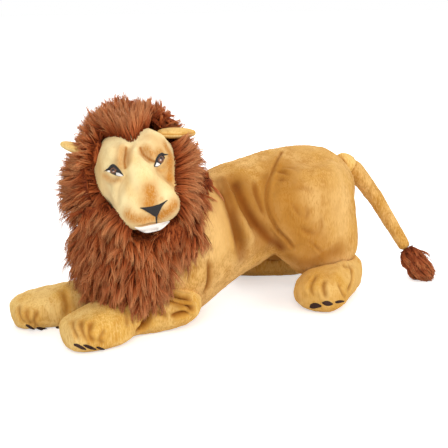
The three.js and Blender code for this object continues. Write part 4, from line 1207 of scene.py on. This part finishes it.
def kept_points(base, keep, count, seed):
    """At most this many random points, on the parts of a backing that are kept."""
    points, normals = scattered(base, count * 4, seed)
    kept = np.flatnonzero(keep(points))[:count]
    return points[kept], normals[kept]


# How far locks may rise over the mane's outer form, in millimetres
front_rise, side_rise, wisp_rise = 16, 10, 13
wisp_share = 0.3
ear_short_reach, ear_shortest = 30, 0.62
ear_rise_reach = 40
lock_curl = 3.5


def pile(name, base, keep, comb, shell, seed, count, locks, body, lengths,
         lift=0.9, gather=0.72, radius_mm=0.8, rise_mm=(2, 9), paler=0.0):
    """One piece of long pile on the parts of a backing that are kept."""
    rng = np.random.default_rng(seed)
    seeds, seed_normals = kept_points(base, keep, locks, seed + 100)
    roots, normals = kept_points(base, keep, count, seed)
    short = np.clip(near_ears(seeds) / ear_short_reach, ear_shortest, 1)
    reach = rng.uniform(*lengths, len(seeds)) * MM * short
    local = in_face(seeds)
    rise = rng.uniform(*rise_mm, len(seeds)) + front_rise * np.clip((local[:, 0] + 5) / 30, 0, 1)
    wisps = wisp_rise * (rng.random(len(seeds)) < wisp_share)
    rise += front_rise * np.clip(1 - near_ears(seeds) / ear_rise_reach, 0, 1) + wisps
    level = np.clip(1 - np.abs(local[:, 2] + 20) / 70, 0, 1)
    rise += side_rise * np.clip(-local[:, 1] / 60 - 0.6, 0, 1) * level
    lines = locks_from(seeds, seed_normals, comb, reach, lift, lock_curl, seed + 200, shell, rise * MM)
    fur(name, roots, normals, lines, mane_fur, body, radius_mm, gather, seed + 300, paler)


crown_backing = soft_form("crown_backing", ["mane_crown"], 5, 6, -22)
collar_backing = soft_form("collar_backing", ["mane_collar"], 5, 4, -16)
finish_piece(crown_backing, mane_backing, "head", ["mane_crown"])
finish_piece(collar_backing, mane_backing, "torso", ["mane_collar"])

crown_shell, collar_shell = merged_surface(["mane_crown"]), merged_surface(["mane_collar"])


def on_crown(points):
    return off_face(points) & (near_ears(points) > 7)


def by_face(points):
    past = beyond_face(points)
    return (past > 0.3) & (past < 34) & (in_face(points)[:, 0] > -30) & (near_ears(points) > 8)


def at_edge(points):
    """The strip of backing next to the face, where shorter pile hides the cloth's edge."""
    past = beyond_face(points)
    return (past > 0.3) & (past < 26) & (in_face(points)[:, 0] > -60) & (near_ears(points) > 8)


for n in range(3):
    pile(f"mane_crown_pile_{n + 1}", crown_backing, on_crown, mane_comb, crown_shell, 11 + n, 9000, 1000,
         "head", (46, 70), gather=0.8, rise_mm=(-8, 3))
pile("mane_face_pile", head, by_face, mane_comb, None, 21, 9000, 1300, "head", (34, 60),
     0.5, 0.6, 0.7, paler=0.12)
pile("mane_edge_pile", crown_backing, at_edge, mane_comb, None, 23, 8000, 1100, "head", (28, 46),
     0.9, 0.65, 0.75, paler=0.12)
pile("collar_edge_pile", collar_backing, at_edge, collar_comb, None, 25, 4000, 600, "torso", (28, 46),
     0.8, 0.65, 0.75, paler=0.1)
for n in range(2):
    pile(f"mane_collar_pile_{n + 1}", collar_backing, off_face, collar_comb, collar_shell, 31 + n, 9000, 900,
         "torso", (46, 72), 0.7, 0.8)

# %% The tuft
tuft_core = soft_form("tuft_backing", ["tail_tuft"], 3, 4, -8)
finish_piece(tuft_core, tuft_backing, "tail", ["tail_tuft"])
tuft_fibres, tuft_locks = 6000, 220
tip_beyond_mm = 12
roots, normals = scattered(tuft_core, tuft_fibres, 51)
tuft_points = points_of(tuft_core)
tuft_start = tuft_points[tuft_points[:, 2].argmax()]
tuft_end = tuft_points[tuft_points[:, 2].argmin()]
tuft_tip = tuft_end + unit(tuft_end - tuft_start) * tip_beyond_mm * MM


def tuft_comb(points, share):
    """The tuft's pile closes in on the tip like a brush."""
    return unit(tuft_tip - points)


seeds, seed_normals = scattered(tuft_core, tuft_locks, 52)
reach = np.clip(np.linalg.norm(seeds - tuft_tip, axis=1) * 0.75, 14 * MM, 42 * MM)
lines = locks_from(seeds, seed_normals, tuft_comb, reach, 0.75, 3.0, 53)
fur("tail_tuft_pile", roots, normals, lines, tuft_fur, "tail", 0.8, 0.8, 54)

# %% [markdown]
# The lion lies on a plain pale floor in soft studio light: a broad key light from the upper left, a
# fill from the right and an even, pale surround that the camera sees as white.

# %% The floor and the light
def area_light(name, at_mm, size_mm, watts):
    """A square white lamp, turned towards the lion's middle."""
    light = bpy.data.lights.new(name, "AREA")
    light.size = size_mm * MM
    light.energy = watts
    lamp = placed(name, light)
    lamp.location = Vector(at_mm) * MM
    lamp.rotation_euler = (Vector(at_mm) - Vector(lit_middle_mm)).to_track_quat("Z", "Y").to_euler()


lit_middle_mm = (120, 0, 120)
area_light("key", (-1200, -1800, 1500), 1200, 30.5)
area_light("side", (1300, -2000, 900), 1400, 20)
area_light("back", (900, 1500, 1500), 1500, 20)
area_light("top", (100, 100, 2200), 1800, 7)


def looked_at(tree):
    """1 for what the camera sees, straight or through a gloss, and 0 for what lights the object."""
    paths = add(tree, "ShaderNodeLightPath").outputs
    most = worked(tree, "MAXIMUM", paths["Is Camera Ray"], paths["Is Glossy Ray"])
    return worked(tree, "MAXIMUM", most, paths["Is Transmission Ray"])


floor_half = 20.0
floor_corners = [(x * floor_half, y * floor_half, 0) for x, y in ((-1, -1), (1, -1), (1, 1), (-1, 1))]
floor_mesh = bpy.data.meshes.new("floor")
floor_mesh.from_pydata(floor_corners, [], [(0, 1, 2, 3)])
floor = placed("floor", floor_mesh)
material, tree, output = new_material("pale_floor")
place = add(tree, "ShaderNodeTexCoord").outputs["Object"]
away = add(tree, "ShaderNodeVectorMath", {0: place}, operation="LENGTH").outputs["Value"]
glow = worked(tree, "MULTIPLY", looked_at(tree), ranged(tree, away, 0.9, 2.2, 0.5, 1.0))
shader = add(tree, "ShaderNodeBsdfPrincipled", {
    "Base Color": mixed(tree, speckle(tree, place, 400), linear(0xE9E8E6), linear(0xEEEEEC)),
    "Roughness": 0.9, "Specular IOR Level": 0.1,
    "Emission Color": linear(0xFFFFFF), "Emission Strength": glow})
tree.links.new(shader.outputs[0], output.inputs["Surface"])
floor_mesh.materials.append(material)

world = bpy.data.worlds.new("surround")
bpy.context.scene.world = world
world.use_nodes = True
world.node_tree.nodes.clear()
paleness = ranged(world.node_tree, looked_at(world.node_tree), 0, 1, 0.5, 1.0)
surround = add(world.node_tree, "ShaderNodeBackground", {"Color": linear(0xFFFFFF), "Strength": paleness})
add(world.node_tree, "ShaderNodeOutputWorld", {"Surface": surround.outputs[0]})
bpy.context.scene.view_settings.view_transform = "Standard"
